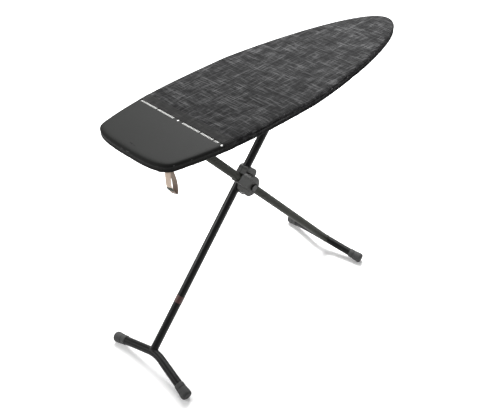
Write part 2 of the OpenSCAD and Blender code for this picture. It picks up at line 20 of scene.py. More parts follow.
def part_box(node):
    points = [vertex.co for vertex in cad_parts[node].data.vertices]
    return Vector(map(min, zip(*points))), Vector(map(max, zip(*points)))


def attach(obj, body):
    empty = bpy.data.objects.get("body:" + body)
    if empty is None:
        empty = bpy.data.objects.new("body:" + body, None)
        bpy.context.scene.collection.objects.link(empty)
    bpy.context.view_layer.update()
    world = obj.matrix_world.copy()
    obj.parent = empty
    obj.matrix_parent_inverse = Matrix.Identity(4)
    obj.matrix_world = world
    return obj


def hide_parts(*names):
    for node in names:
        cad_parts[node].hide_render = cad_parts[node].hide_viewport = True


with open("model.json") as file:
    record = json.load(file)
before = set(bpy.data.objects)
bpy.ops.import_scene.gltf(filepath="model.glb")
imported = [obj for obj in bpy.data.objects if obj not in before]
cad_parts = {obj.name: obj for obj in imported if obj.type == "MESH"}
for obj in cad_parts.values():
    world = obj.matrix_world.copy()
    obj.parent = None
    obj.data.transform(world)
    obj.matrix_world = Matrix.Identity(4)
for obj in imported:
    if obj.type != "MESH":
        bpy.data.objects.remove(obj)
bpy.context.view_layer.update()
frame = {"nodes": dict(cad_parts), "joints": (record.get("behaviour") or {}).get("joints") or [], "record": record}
LOG = logging.getLogger("ironing_board")
MM = 0.001

Colour = tuple[float, float, float]
Place = tuple[float, float, float]
Socketable = "Wire | float | Sequence[float]"

# Numbers of the sockets that are asked for by number
OBJECT_PLACE = 3
MIX_SHARE, MIX_FIRST, MIX_SECOND, MIX_RESULT = 0, 6, 7, 2


# ---------------------------------------------------------------- shader writing


class Wire:
    """One output socket of a shader, with arithmetic that adds Math nodes."""

    def __init__(self, shader: "Shader", socket: bpy.types.NodeSocket) -> None:
        """Wraps a socket.

        Args:
            shader: The shader that the socket belongs to.
            socket: The output socket.
        """
        self.shader = shader
        self.socket = socket

    def _math(self, operation: str, *values: Socketable) -> "Wire":
        """Adds a Math node that works on the values and returns its output."""
        inputs = dict(enumerate(values))
        return self.shader.node("ShaderNodeMath", {"operation": operation}, inputs)

    def __add__(self, other: Socketable) -> "Wire":
        """Sum."""
        return self._math("ADD", self, other)

    def __radd__(self, other: Socketable) -> "Wire":
        """Sum with the number first."""
        return self._math("ADD", other, self)

    def __sub__(self, other: Socketable) -> "Wire":
        """Difference."""
        return self._math("SUBTRACT", self, other)

    def __rsub__(self, other: Socketable) -> "Wire":
        """Difference with the number first."""
        return self._math("SUBTRACT", other, self)

    def __mul__(self, other: Socketable) -> "Wire":
        """Product."""
        return self._math("MULTIPLY", self, other)

    def __rmul__(self, other: Socketable) -> "Wire":
        """Product with the number first."""
        return self._math("MULTIPLY", other, self)

    def sine(self) -> "Wire":
        """Sine of the value, in radians."""
        return self._math("SINE", self)

    def least(self, other: Socketable) -> "Wire":
        """The smaller of two values."""
        return self._math("MINIMUM", self, other)

    def most(self, other: Socketable) -> "Wire":
        """The larger of two values."""
        return self._math("MAXIMUM", self, other)

    def between(self, low: float, high: float) -> "Wire":
        """Rises smoothly from 0 at low to 1 at high.

        Args:
            low: The value that gives 0.
            high: The value that gives 1.

        Returns:
            The mask.
        """
        settings = {"interpolation_type": "SMOOTHSTEP"}
        inputs = {"Value": self, "From Min": low, "From Max": high}
        return self.shader.node("ShaderNodeMapRange", settings, inputs)


class Shader:
    """A material while its nodes are being written."""

    def __init__(self, name: str) -> None:
        """Starts an empty material.

        Args:
            name: The material's name.
        """
        self.material = bpy.data.materials.new(name)
        self.material.use_nodes = True
        self.tree = self.material.node_tree
        self.tree.nodes.clear()

    def node(
        self,
        kind: str,
        settings: dict | None = None,
        inputs: dict | None = None,
        output: int = 0,
    ) -> Wire | None:
        """Adds any node.

        Args:
            kind: The node's type.
            settings: The node's own settings, such as an operation, set before its sockets.
            inputs: Values or wires for its sockets, by name or number; a colour has three numbers.
            output: Number of the output that is returned.

        Returns:
            The chosen output, or nothing where the node has none.
        """
        made = self.tree.nodes.new(kind)
        for key, value in (settings or {}).items():
            setattr(made, key, value)
        for key, value in (inputs or {}).items():
            socket = made.inputs[key]
            if isinstance(value, Wire):
                self.tree.links.new(value.socket, socket)
            else:
                socket.default_value = (*value, 1.0) if socket.type == "RGBA" else value
        return Wire(self, made.outputs[output]) if made.outputs else None

    def place(self, stretch: Place = (1.0, 1.0, 1.0)) -> Wire:
        """The place on the object in metres, stretched along each axis.

        Args:
            stretch: Factor for each axis.

        Returns:
            The stretched place.
        """
        inputs = {0: self.node("ShaderNodeTexCoord", output=OBJECT_PLACE), 1: stretch}
        return self.node("ShaderNodeVectorMath", {"operation": "MULTIPLY"}, inputs)

    def axes(self) -> list[Wire]:
        """The three coordinates of the place as separate wires."""
        here = self.node("ShaderNodeTexCoord", output=OBJECT_PLACE)
        split = self.node("ShaderNodeSeparateXYZ", inputs={0: here})
        return [Wire(self, socket) for socket in split.socket.node.outputs]

    def noise(self, stretch: Place, detail: float = 2.0, roughness: float = 0.5) -> Wire:
        """Noise from 0 to 1 whose size along each axis is set by the stretch.

        Args:
            stretch: Grains in a metre along each axis.
            detail: Octaves of finer noise.
            roughness: Share that the finer noise keeps.

        Returns:
            The noise.
        """
        inputs = {"Vector": self.place(stretch), "Scale": 1.0, "Detail": detail, "Roughness": roughness}
        return self.node("ShaderNodeTexNoise", inputs=inputs)

    def cells(self, per_metre: float) -> Wire:
        """Distance to the nearest point of a scatter, for grained surfaces.

        Args:
            per_metre: Points in a metre.

        Returns:
            The distance, from 0.
        """
        return self.node("ShaderNodeTexVoronoi", inputs={"Vector": self.place(), "Scale": per_metre})

    def mix(self, share: Socketable, first: Socketable, second: Socketable) -> Wire:
        """Blends two colours.

        Args:
            share: How much of the second shows, from 0 to 1.
            first: Colour where the share is 0.
            second: Colour where the share is 1.

        Returns:
            The blended colour.
        """
        inputs = {MIX_SHARE: share, MIX_FIRST: first, MIX_SECOND: second}
        return self.node("ShaderNodeMix", {"data_type": "RGBA"}, inputs, MIX_RESULT)

    def bump(self, height: Wire, depth: float, strength: float = 1.0) -> Wire:
        """Turns a height from 0 to 1 into a normal.

        Args:
            height: The height.
            depth: Real depth of the relief in metres.
            strength: Share of the relief that shows.

        Returns:
            The normal.
        """
        inputs = {"Height": height, "Distance": depth, "Strength": strength}
        return self.node("ShaderNodeBump", inputs=inputs)

    def finish(self, **sockets: Socketable) -> bpy.types.Material:
        """Closes the material with a Principled shader.

        Args:
            **sockets: Values or wires; an underscore in a name stands for a space.

        Returns:
            The finished material.
        """
        inputs = {key.replace("_", " "): value for key, value in sockets.items()}
        surface = self.node("ShaderNodeBsdfPrincipled", inputs=inputs)
        self.node("ShaderNodeOutputMaterial", inputs={"Surface": surface})
        return self.material


# ---------------------------------------------------------------- finishes


def toned(colour: Colour, factor: float, lift: float = 0.0) -> Colour:
    """The colour with each channel multiplied by a factor and raised by a lift."""
    return tuple(factor * channel + lift for channel in colour)


@dataclass(frozen=True)
class SlubCloth:
    """Mottled cloth: dark ground with light slubs along and across the board."""

    name: str = "slub_cloth"
    ground: Colour = (0.0035, 0.0035, 0.0038)
    thread: Colour = (0.078, 0.078, 0.0795)
    contrast: float = 1.0
    slub_length: float = 15.0
    slub_width: float = 260.0
    threads_per_metre: float = 900.0

    def material(self) -> bpy.types.Material:
        """Writes the material.

        Returns:
            The material.
        """
        s = Shader(self.name)
        long_way, wide_way = self.slub_length, self.slub_width
        along = s.noise((long_way, wide_way, wide_way), 1.0, 0.5)
        across = s.noise((wide_way, long_way, wide_way), 1.0, 0.5)
        fine_along = s.noise((2.2 * long_way, 1.7 * wide_way, 1.7 * wide_way), 1.0)
        fine_across = s.noise((1.7 * wide_way, 2.2 * long_way, 1.7 * wide_way), 1.0)
        patches = s.noise((15.0, 30.0, 20.0), 1.5) * 0.5 + s.noise((36.0, 13.0, 20.0), 1.5) * 0.5
        slubs = along.between(0.56, 0.72).most(across.between(0.56, 0.72))
        thin = fine_along.between(0.57, 0.70).most(fine_across.between(0.57, 0.70))
        gaps = along.between(0.44, 0.30).most(across.between(0.44, 0.30))
        cloud = 0.40 + patches.between(0.34, 0.66) * 0.90
        share = (0.13 + slubs * 0.52 + thin * 0.34 - gaps * 0.13) * cloud * self.contrast
        colour = s.mix(share.least(1.0).most(0.0), self.ground, self.thread)
        x, y, _ = s.axes()
        turn = self.threads_per_metre * math.pi
        weave = (x * turn).sine() * (y * turn).sine() * 0.25 + 0.5
        height = weave + along * 0.5 + across * 0.5
        return s.finish(
            Base_Color=colour,
            Roughness=0.86,
            Normal=s.bump(height, 0.0006, 0.6),
            Sheen_Weight=0.015,
            Sheen_Roughness=0.45,
            Specular_IOR_Level=0.05,
        )


@dataclass(frozen=True)
class CoatedCloth:
    """Smooth heat-resistant cloth with a faint diagonal twill."""

    name: str = "coated_cloth"
    colour: Colour = (0.0105, 0.0109, 0.0103)
    twill_per_metre: float = 650.0

    def material(self) -> bpy.types.Material:
        """Writes the material.

        Returns:
            The material.
        """
        s = Shader(self.name)
        x, y, _ = s.axes()
        twill = ((x + y) * (self.twill_per_metre * math.pi)).sine() * 0.5 + 0.5
        clouds = s.noise((9.0, 9.0, 9.0), 3.0)
        fibres = s.noise((700.0, 700.0, 700.0), 2.0)
        dark = toned(self.colour, 0.82)
        bright = toned(self.colour, 1.22)
        colour = s.mix(clouds * 0.55 + twill * 0.2 + fibres * 0.25, dark, bright)
        return s.finish(
            Base_Color=colour,
            Roughness=0.60 + fibres * 0.12,
            Normal=s.bump(twill * 0.6 + fibres * 0.8, 0.0003, 0.6),
            Sheen_Weight=0.01,
            Sheen_Roughness=0.5,
            Specular_IOR_Level=0.09,
        )


@dataclass(frozen=True)
class Felt:
    """Pressed needle felt."""

    name: str = "needle_felt"
    colour: Colour = (0.50, 0.49, 0.45)

    def material(self) -> bpy.types.Material:
        """Writes the material.

        Returns:
            The material.
        """
        s = Shader(self.name)
        fibres = s.noise((900.0, 700.0, 900.0), 5.0, 0.7)
        flecks = s.noise((160.0, 160.0, 160.0), 3.0).between(0.60, 0.68)
        dark = toned(self.colour, 0.72)
        colour = s.mix(flecks * 0.5, s.mix(fibres, dark, self.colour), (0.22, 0.24, 0.28))
        return s.finish(
            Base_Color=colour,
            Roughness=0.95,
            Normal=s.bump(fibres, 0.0012, 0.8),
            Sheen_Weight=0.35,
            Specular_IOR_Level=0.1,
        )


@dataclass(frozen=True)
class PowderCoat:
    """Powder-coated steel with fine orange peel, dust near the floor and light scuffs."""

    name: str
    colour: Colour
    roughness: float = 0.42
    peel: float = 1.0
    dust: float = 0.5
    shine: float = 0.4

    def material(self) -> bpy.types.Material:
        """Writes the material.

        Returns:
            The material.
        """
        s = Shader(self.name)
        peel = s.noise((1100.0, 1100.0, 1100.0), 2.0)
        clouds = s.noise((22.0, 22.0, 22.0), 3.0)
        scuffs = s.noise((60.0, 900.0, 60.0), 2.0).between(0.66, 0.74)
        _, _, height = s.axes()
        low = (0.10 - height).between(0.0, 0.10) * clouds.between(0.40, 0.70) * self.dust
        bright = toned(self.colour, 1.25, 0.002)
        base = s.mix(clouds, self.colour, bright)
        wear_and_painted_shade = s.mix(scuffs * 0.35, base, toned(self.colour, 2.2, 0.02))
        colour = s.mix(low * 0.35, wear_and_painted_shade, (0.16, 0.155, 0.145))
        return s.finish(
            Base_Color=colour,
            Roughness=self.roughness + peel * 0.10 + low * 0.3 + scuffs * 0.08,
            Normal=s.bump(peel, 0.00008 * self.peel, 1.0),
            Specular_IOR_Level=self.shine,
        )


@dataclass(frozen=True)
class Moulding:
    """Injection-moulded plastic with a fine spark-eroded grain."""

    name: str
    colour: Colour
    roughness: float = 0.55
    grain_per_metre: float = 1600.0

    def material(self) -> bpy.types.Material:
        """Writes the material.

        Returns:
            The material.
        """
        s = Shader(self.name)
        grain = s.cells(self.grain_per_metre)
        clouds = s.noise((40.0, 40.0, 40.0), 3.0)
        rubbed = s.noise((400.0, 90.0, 400.0), 3.0).between(0.63, 0.72)
        colour = s.mix(clouds, toned(self.colour, 0.85), toned(self.colour, 1.2))
        wear_and_painted_shade = s.mix(rubbed * 0.3, colour, toned(self.colour, 1.9, 0.01))
        return s.finish(
            Base_Color=wear_and_painted_shade,
            Roughness=self.roughness + grain * 0.12 - rubbed * 0.08,
            Normal=s.bump(grain, 0.00012, 0.8),
            Specular_IOR_Level=0.45,
        )


@dataclass(frozen=True)
class Rubber:
    """Matt moulded rubber, dusty and slightly worn where it meets the floor."""

    name: str = "cap_rubber"
    colour: Colour = (0.028, 0.028, 0.028)

    def material(self) -> bpy.types.Material:
        """Writes the material.

        Returns:
            The material.
        """
        s = Shader(self.name)
        grain = s.noise((1400.0, 1400.0, 1400.0), 3.0)
        clouds = s.noise((55.0, 55.0, 55.0), 3.0)
        _, _, height = s.axes()
        low = (0.016 - height).between(0.0, 0.014) * clouds.between(0.30, 0.65)
        base = s.mix(clouds, toned(self.colour, 0.8), toned(self.colour, 1.5))
        return s.finish(
            Base_Color=s.mix(low * 0.4, base, (0.13, 0.125, 0.115)),
            Roughness=0.66 + grain * 0.14,
            Normal=s.bump(grain, 0.00018, 0.8),
            Specular_IOR_Level=0.38,
        )


@dataclass(frozen=True)
class PlatedSteel:
    """Zinc-plated steel with drawn lines."""

    name: str = "plated_steel"
    colour: Colour = (0.52, 0.52, 0.53)

    def material(self) -> bpy.types.Material:
        """Writes the material.

        Returns:
            The material.
        """
        s = Shader(self.name)
        lines = s.noise((900.0, 40.0, 900.0), 2.0)
        spots = s.noise((120.0, 120.0, 120.0), 3.0)
        colour = s.mix(spots, toned(self.colour, 0.75), self.colour)
        return s.finish(
            Base_Color=colour,
            Metallic=1.0,
            Roughness=0.30 + lines * 0.16,
            Normal=s.bump(lines, 0.00005, 0.8),
        )


@dataclass(frozen=True)
class Webbing:
    """Woven tape with lengthwise ribs and short cross picks, and painted shade on its inner strand that grows
    darker towards the strand's bottom.
    """

    name: str = "webbing"
    colour: Colour = (0.66, 0.53, 0.43)
    shade: Colour = (0.24, 0.175, 0.135)
    # Painted shade: the inner strand's colour, and the darker colour that it takes towards its bottom
    inner_shade_colour: Colour = (0.20, 0.155, 0.115)
    low_colour: Colour = (0.17, 0.105, 0.088)
    # Where the painted shade goes: below this height it grows darker, and past these reaches lies the inner strand
    low_from: float = 0.938
    reach_from: float = -0.6372
    reach_to: float = -0.6292
    reach_along: float = 0.94
    reach_across: float = 0.34
    picks_per_metre: float = 520.0

    def material(self) -> bpy.types.Material:
        """Writes the material.

        Returns:
            The material.
        """
        s = Shader(self.name)
        x, y, z = s.axes()
        picks = (z * (self.picks_per_metre * 2.0 * math.pi)).sine() * 0.5 + 0.5
        ribs = ((y + x * 0.36) * (480.0 * 2.0 * math.pi)).sine() * 0.5 + 0.5
        fuzz = s.noise((1200.0, 1200.0, 500.0), 3.0)
        stain = s.noise((45.0, 45.0, 30.0), 2.0)
        share = picks * 0.14 + ribs * 0.10 + fuzz * 0.16 + stain * 0.14
        # Painted shade: the inner strand takes a darker colour, and darker still towards its bottom
        reach = x * self.reach_along + y * self.reach_across
        inner = reach.between(self.reach_from, self.reach_to)
        low = (self.low_from - z).between(0.0, 0.045)
        wear_and_painted_shade = s.mix(low * 0.55, self.inner_shade_colour, self.low_colour)
        return s.finish(
            Base_Color=s.mix(inner, s.mix(share, self.colour, self.shade), s.mix(share, wear_and_painted_shade, self.shade)),
            Roughness=0.84,
            Normal=s.bump(picks * 0.6 + ribs * 0.5 + fuzz * 0.3, 0.0004, 0.8),
            Sheen_Weight=0.25,
            Specular_IOR_Level=0.2,
        )


@dataclass(frozen=True)
class PlainCloth:
    """Small plain-woven piece, such as a patch, or a thread."""

    name: str
    colour: Colour
    grain: float = 1100.0

    def material(self) -> bpy.types.Material:
        """Writes the material.

        Returns:
            The material.
        """
        s = Shader(self.name)
        x, y, z = s.axes()
        turn = self.grain * math.pi
        weave = ((x + y) * turn).sine() * (z * turn).sine() * 0.5 + 0.5
        fuzz = s.noise((900.0, 900.0, 900.0), 3.0)
        share = weave * 0.4 + fuzz * 0.5
        colour = s.mix(share, toned(self.colour, 0.6), toned(self.colour, 1.25))
        return s.finish(
            Base_Color=colour,
            Roughness=0.85,
            Normal=s.bump(weave, 0.0002, 0.7),
            Specular_IOR_Level=0.2,
        )


@dataclass(frozen=True)
class Ink:
    """Screen-printed ink that breaks up a little over the threads."""

    name: str = "white_ink"
    colour: Colour = (0.80, 0.80, 0.78)

    def material(self) -> bpy.types.Material:
        """Writes the material.

        Returns:
            The material.
        """
        s = Shader(self.name)
        gaps = s.noise((900.0, 900.0, 900.0), 3.0).between(0.56, 0.70)
        return s.finish(
            Base_Color=s.mix(gaps * 0.5, self.colour, (0.20, 0.20, 0.20)),
            Roughness=0.62,
            Specular_IOR_Level=0.3,
        )


@dataclass(frozen=True)
class Wrap:
    """Thin blank film wrapped round a leg, with faint creases."""

    name: str = "leg_wrap"
    colour: Colour = (0.050, 0.016, 0.013)

    def material(self) -> bpy.types.Material:
        """Writes the material.

        Returns:
            The material.
        """
        s = Shader(self.name)
        crease = s.noise((260.0, 60.0, 260.0), 3.0)
        colour = s.mix(crease, toned(self.colour, 0.7), toned(self.colour, 1.5))
        return s.finish(Base_Color=colour, Roughness=0.34 + crease * 0.12, Normal=s.bump(crease, 0.0002, 0.6))


@dataclass(frozen=True)
class FloorPaper:
    """Plain pale studio floor."""

    name: str = "floor_paper"
    colour: Colour = (0.93, 0.93, 0.93)

    def material(self) -> bpy.types.Material:
        """Writes the material.

        Returns:
            The material.
        """
        s = Shader(self.name)
        grain = s.noise((3.0, 3.0, 3.0), 2.0)
        return s.finish(
            Base_Color=s.mix(grain * 0.1, self.colour, toned(self.colour, 0.98)),
            Roughness=0.9,
            Specular_IOR_Level=0.0,
            Emission_Color=(1.0, 1.0, 1.0),
            Emission_Strength=0.15,
        )


class Slot(Enum):
    """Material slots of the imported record."""

    MOTTLED_CLOTH = "mottled_cloth"
    HEAT_CLOTH = "heat_cloth"
    FELT = "felt"
    MESH_STEEL = "mesh_steel"
    FRAME_PAINT = "frame_paint"
    TRACK_PAINT = "track_paint"
    # The tail leg's black paint with painted light
    LIT_BLACK_PAINT = "olive_paint"
    BLACK_PAINT = "black_paint"
    FOOT_PAINT = "foot_paint"
    CAP_RUBBER = "cap_rubber"
    HUB_PLASTIC = "hub_plastic"
    BLACK_PLASTIC = "black_plastic"
    ZINC_STEEL = "zinc_steel"
    WEBBING = "webbing"
    PATCH_CLOTH = "patch_cloth"
    BAND_FILM = "band_film"


FINISHES = {
    Slot.MOTTLED_CLOTH: SlubCloth(),
    Slot.HEAT_CLOTH: CoatedCloth(),
    Slot.FELT: Felt(),
    Slot.MESH_STEEL: PowderCoat("mesh_steel", (0.100, 0.101, 0.104), 0.45),
    Slot.FRAME_PAINT: PowderCoat("frame_paint", (0.045, 0.045, 0.047), 0.42),
    Slot.TRACK_PAINT: PowderCoat("track_paint", (0.070, 0.071, 0.073), 0.36),
    # Painted light: the tail leg's paint is the black paint of the sliding leg, made lighter and olive-tinted
    # where its face catches the light
    Slot.LIT_BLACK_PAINT: PowderCoat("olive_paint", (0.0150, 0.0160, 0.0115), 0.55, dust=0.2, shine=0.13),
    Slot.BLACK_PAINT: PowderCoat("black_paint", (0.0018, 0.0018, 0.0018), 0.25, dust=0.1, shine=0.26),
    Slot.FOOT_PAINT: PowderCoat("foot_paint", (0.003, 0.003, 0.003), 0.32, dust=0.1, shine=0.14),
    Slot.CAP_RUBBER: Rubber(),
    Slot.HUB_PLASTIC: Moulding("hub_plastic", (0.0070, 0.0076, 0.0058), 0.46),
    Slot.BLACK_PLASTIC: Moulding("black_plastic", (0.010, 0.010, 0.010), 0.42),
    Slot.ZINC_STEEL: PlatedSteel(),
    Slot.WEBBING: Webbing(),
    Slot.PATCH_CLOTH: PlainCloth("patch_cloth", (0.060, 0.072, 0.060)),
    Slot.BAND_FILM: Wrap(),
}


class Paintbox:
    """Makes each finish's material once and puts it on pieces."""

    def __init__(self) -> None:
        """Starts with no material made."""
        self._made: dict[str, bpy.types.Material] = {}

    def coat(self, obj: bpy.types.Object, finish: object) -> None:
        """Gives a piece one finish.

        Args:
            obj: The piece.
            finish: A finish with a name and a material method.
        """
        if finish.name not in self._made:
            self._made[finish.name] = finish.material()
        material = self._made[finish.name]
        obj.data.materials.clear()
        obj.data.materials.append(material)


# ---------------------------------------------------------------- mesh helpers


def mesh_piece(
    name: str,
    points: np.ndarray,
    faces: Iterable[Sequence[int]],
    smooth: bool = True,
) -> bpy.types.Object:
    """Makes an object from points and faces.

    Args:
        name: The object's name.
        points: Its vertices, in the frame's axes.
        faces: Its faces as vertex numbers.
        smooth: Whether the faces shade smoothly.

    Returns:
        The object, linked to the scene.
    """
    mesh = bpy.data.meshes.new(name)
    mesh.from_pydata([tuple(p) for p in points], [], [tuple(f) for f in faces])
    mesh.validate()
    mesh.polygons.foreach_set("use_smooth", [smooth] * len(mesh.polygons))
    mesh.update()
    obj = bpy.data.objects.new(name, mesh)
    bpy.context.scene.collection.objects.link(obj)
    return obj


def grid_faces(rows: int, columns: int, wrap: bool) -> list[tuple[int, int, int, int]]:
    """Quads between rows of points, where each row holds the same number of columns.

    Args:
        rows: Number of rows.
        columns: Points in a row.
        wrap: Whether the last column joins the first.

    Returns:
        The quads.
    """
    last = columns if wrap else columns - 1
    quads = []
    for row in range(rows - 1):
        for column in range(last):
            nxt = (column + 1) % columns
            here, there = row * columns, (row + 1) * columns
            quads.append((here + column, there + column, there + nxt, here + nxt))
    return quads


def merge_close(obj: bpy.types.Object, distance: float) -> None:
    """Joins vertices that lie closer than a distance.

    Args:
        obj: The piece.
        distance: The distance in metres.
    """
    work = bmesh.new()
    work.from_mesh(obj.data)
    bmesh.ops.remove_doubles(work, verts=work.verts, dist=distance)
    work.to_mesh(obj.data)
    work.free()
    obj.data.update()


def keep_side(obj: bpy.types.Object, point: Vector, normal: Vector) -> None:
    """Cuts a mesh along a plane and keeps the side that the normal points away from.

    Args:
        obj: The piece.
        point: A point on the plane.
        normal: The plane's normal.
    """
    work = bmesh.new()
    work.from_mesh(obj.data)
    everything = work.verts[:] + work.edges[:] + work.faces[:]
    bmesh.ops.bisect_plane(work, geom=everything, plane_co=point, plane_no=normal, clear_outer=True)
    work.to_mesh(obj.data)
    work.free()
    obj.data.update()


def copy_piece(obj: bpy.types.Object, name: str) -> bpy.types.Object:
    """Copies a piece with its mesh.

    Args:
        obj: The piece.
        name: The copy's name.

    Returns:
        The copy.
    """
    made = obj.copy()
    made.data = obj.data.copy()
    made.name = name
    made.data.name = name
    bpy.context.scene.collection.objects.link(made)
    return made


def thicken(obj: bpy.types.Object, thickness: float, offset: float = -1.0) -> None:
    """Gives a sheet its thickness with a Solidify modifier.

    Args:
        obj: The piece.
        thickness: Thickness in metres.
        offset: -1 grows it inwards and 1 outwards.
    """
    made = obj.modifiers.new("thickness", "SOLIDIFY")
    made.thickness = thickness
    made.offset = offset


def soften_moulding(obj: bpy.types.Object, voxel: float, passes: int) -> None:
    """Rounds every edge of a moulded piece with Remesh and Smooth modifiers.

    Args:
        obj: The piece.
        voxel: Size of the new mesh's cells in metres.
        passes: Smoothing passes; more give rounder edges.
    """
    cells = obj.modifiers.new("fine_cells", "REMESH")
    cells.mode = "VOXEL"
    cells.voxel_size = voxel
    cells.use_smooth_shade = True
    smooth = obj.modifiers.new("soft_edges", "SMOOTH")
    smooth.factor = 0.5
    smooth.iterations = passes


def unit(v: np.ndarray) -> np.ndarray:
    """The vector, or each row of vectors, scaled to length 1."""
    return v / np.maximum(np.linalg.norm(v, axis=-1, keepdims=True), 1e-12)


def resample(points: np.ndarray, count: int) -> np.ndarray:
    """Spaces points evenly along an open polyline.

    Args:
        points: The polyline.
        count: Number of points wanted.

    Returns:
        The evenly spaced points.
    """
    steps = np.linalg.norm(np.diff(points, axis=0), axis=1)
    run = np.concatenate([[0.0], np.cumsum(steps)])
    wanted = np.linspace(0.0, run[-1], count)
    return np.stack([np.interp(wanted, run, points[:, k]) for k in range(points.shape[1])], axis=1)


def smooth_curve(points: np.ndarray, per_span: int, closed: bool) -> np.ndarray:
    """A Catmull-Rom curve through points.

    Args:
        points: The points.
        per_span: Points made between two given ones.
        closed: Whether the curve joins its own start.

    Returns:
        The curve's points.
    """
    count = len(points)
    spans = count if closed else count - 1
    made = []
    for span in range(spans):
        if closed:
            p = [points[(span + k) % count] for k in (-1, 0, 1, 2)]
        else:
            p = [points[min(max(span + k, 0), count - 1)] for k in (-1, 0, 1, 2)]
        gaps = [max(float(np.linalg.norm(p[k + 1] - p[k])), 1e-9) for k in range(3)]
        start = (p[2] - p[0]) / (gaps[0] + gaps[1]) * gaps[1]
        end = (p[3] - p[1]) / (gaps[1] + gaps[2]) * gaps[1]
        for step in range(per_span):
            t = step / per_span
            a, b = 2 * t**3 - 3 * t**2 + 1, t**3 - 2 * t**2 + t
            c, d = -2 * t**3 + 3 * t**2, t**3 - t**2
            made.append(a * p[1] + b * start + c * p[2] + d * end)
    if not closed:
        made.append(points[-1])
    return np.array(made)


def tube_arrays(
    path: np.ndarray,
    radius: np.ndarray | float,
    sides: int,
    closed: bool = False,
) -> tuple[np.ndarray, list]:
    """Points and faces of a round tube along a path, with domed ends where it is open.

    Args:
        path: The centreline.
        radius: One radius, or one for each point.
        sides: Sides round the tube.
        closed: Whether the path joins its own start.

    Returns:
        The points and the faces.
    """
    count = len(path)
    radii = np.broadcast_to(np.asarray(radius, float), (count,))
    if closed:
        along = unit(np.roll(path, -1, axis=0) - np.roll(path, 1, axis=0))
    else:
        along = unit(np.gradient(path, axis=0))
    reference = np.array([0.0, 0.0, 1.0]) if abs(along[0][2]) < 0.9 else np.array([1.0, 0.0, 0.0])
    across = unit(np.cross(along[0], reference))
    rings = []
    for place in range(count):
        across = unit(across - along[place] * float(across @ along[place]))
        up = np.cross(along[place], across)
        turn = np.linspace(0.0, 2.0 * math.pi, sides, endpoint=False)
        offsets = np.outer(np.cos(turn), across) + np.outer(np.sin(turn), up)
        rings.append(path[place] + radii[place] * offsets)
    points = np.concatenate(rings)
    faces = grid_faces(count, sides, True)
    if closed:
        for side in range(sides):
            nxt = (side + 1) % sides
            last = (count - 1) * sides
            faces.append((last + side, side, nxt, last + nxt))
    else:
        faces.append(tuple(range(sides)))
        faces.append(tuple(range(count * sides - 1, (count - 1) * sides - 1, -1)))
    return points, [tuple(reversed(f)) for f in faces]


def join_arrays(parts: Sequence[tuple[np.ndarray, list]]) -> tuple[np.ndarray, list]:
    """Joins several pairs of points and faces into one.

    Args:
        parts: The pairs.

    Returns:
        All points and faces.
    """
    points, faces, start = [], [], 0
    for part_points, part_faces in parts:
        points.append(part_points)
        faces.extend(tuple(v + start for v in f) for f in part_faces)
        start += len(part_points)
    return np.concatenate(points), faces


def loop_noise(count: int, knots: int, seed: int) -> np.ndarray:
    """Smooth noise from -1 to 1 that joins its own start.

    Args:
        count: Number of values.
        knots: Number of random values it passes through.
        seed: Seed of the random values.

    Returns:
        The noise.
    """
    values = np.random.RandomState(seed).uniform(-1.0, 1.0, (knots, 1))
    per_span = max(2, math.ceil(count / knots))
    curve = smooth_curve(np.hstack([np.arange(knots)[:, None] * 0.0, values]), per_span, True)[:, 1]
    return np.interp(np.linspace(0, len(curve) - 1, count), np.arange(len(curve)), curve)


def seat(
    obj: bpy.types.Object,
    body: str,
    slot: Slot,
    paint: Paintbox,
    note: str,
    stands_for: str = "",
    finish: object = None,
) -> None:
    """Puts a finished piece on its body, gives it its slot and finish, and logs it.

    Args:
        obj: The piece.
        body: The body that it rides on.
        slot: Its material slot.
        paint: The materials made so far.
        note: What it is.
        stands_for: The CAD node that it replaces, if any.
        finish: Its finish, where that isn't the slot's own.
    """
    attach(obj, body)
    if stands_for:
        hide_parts(stands_for)
    paint.coat(obj, finish or FINISHES[slot])
    LOG.info("%s: %s, %d faces", obj.name, note, len(obj.data.polygons))


# ---------------------------------------------------------------- the board's outline


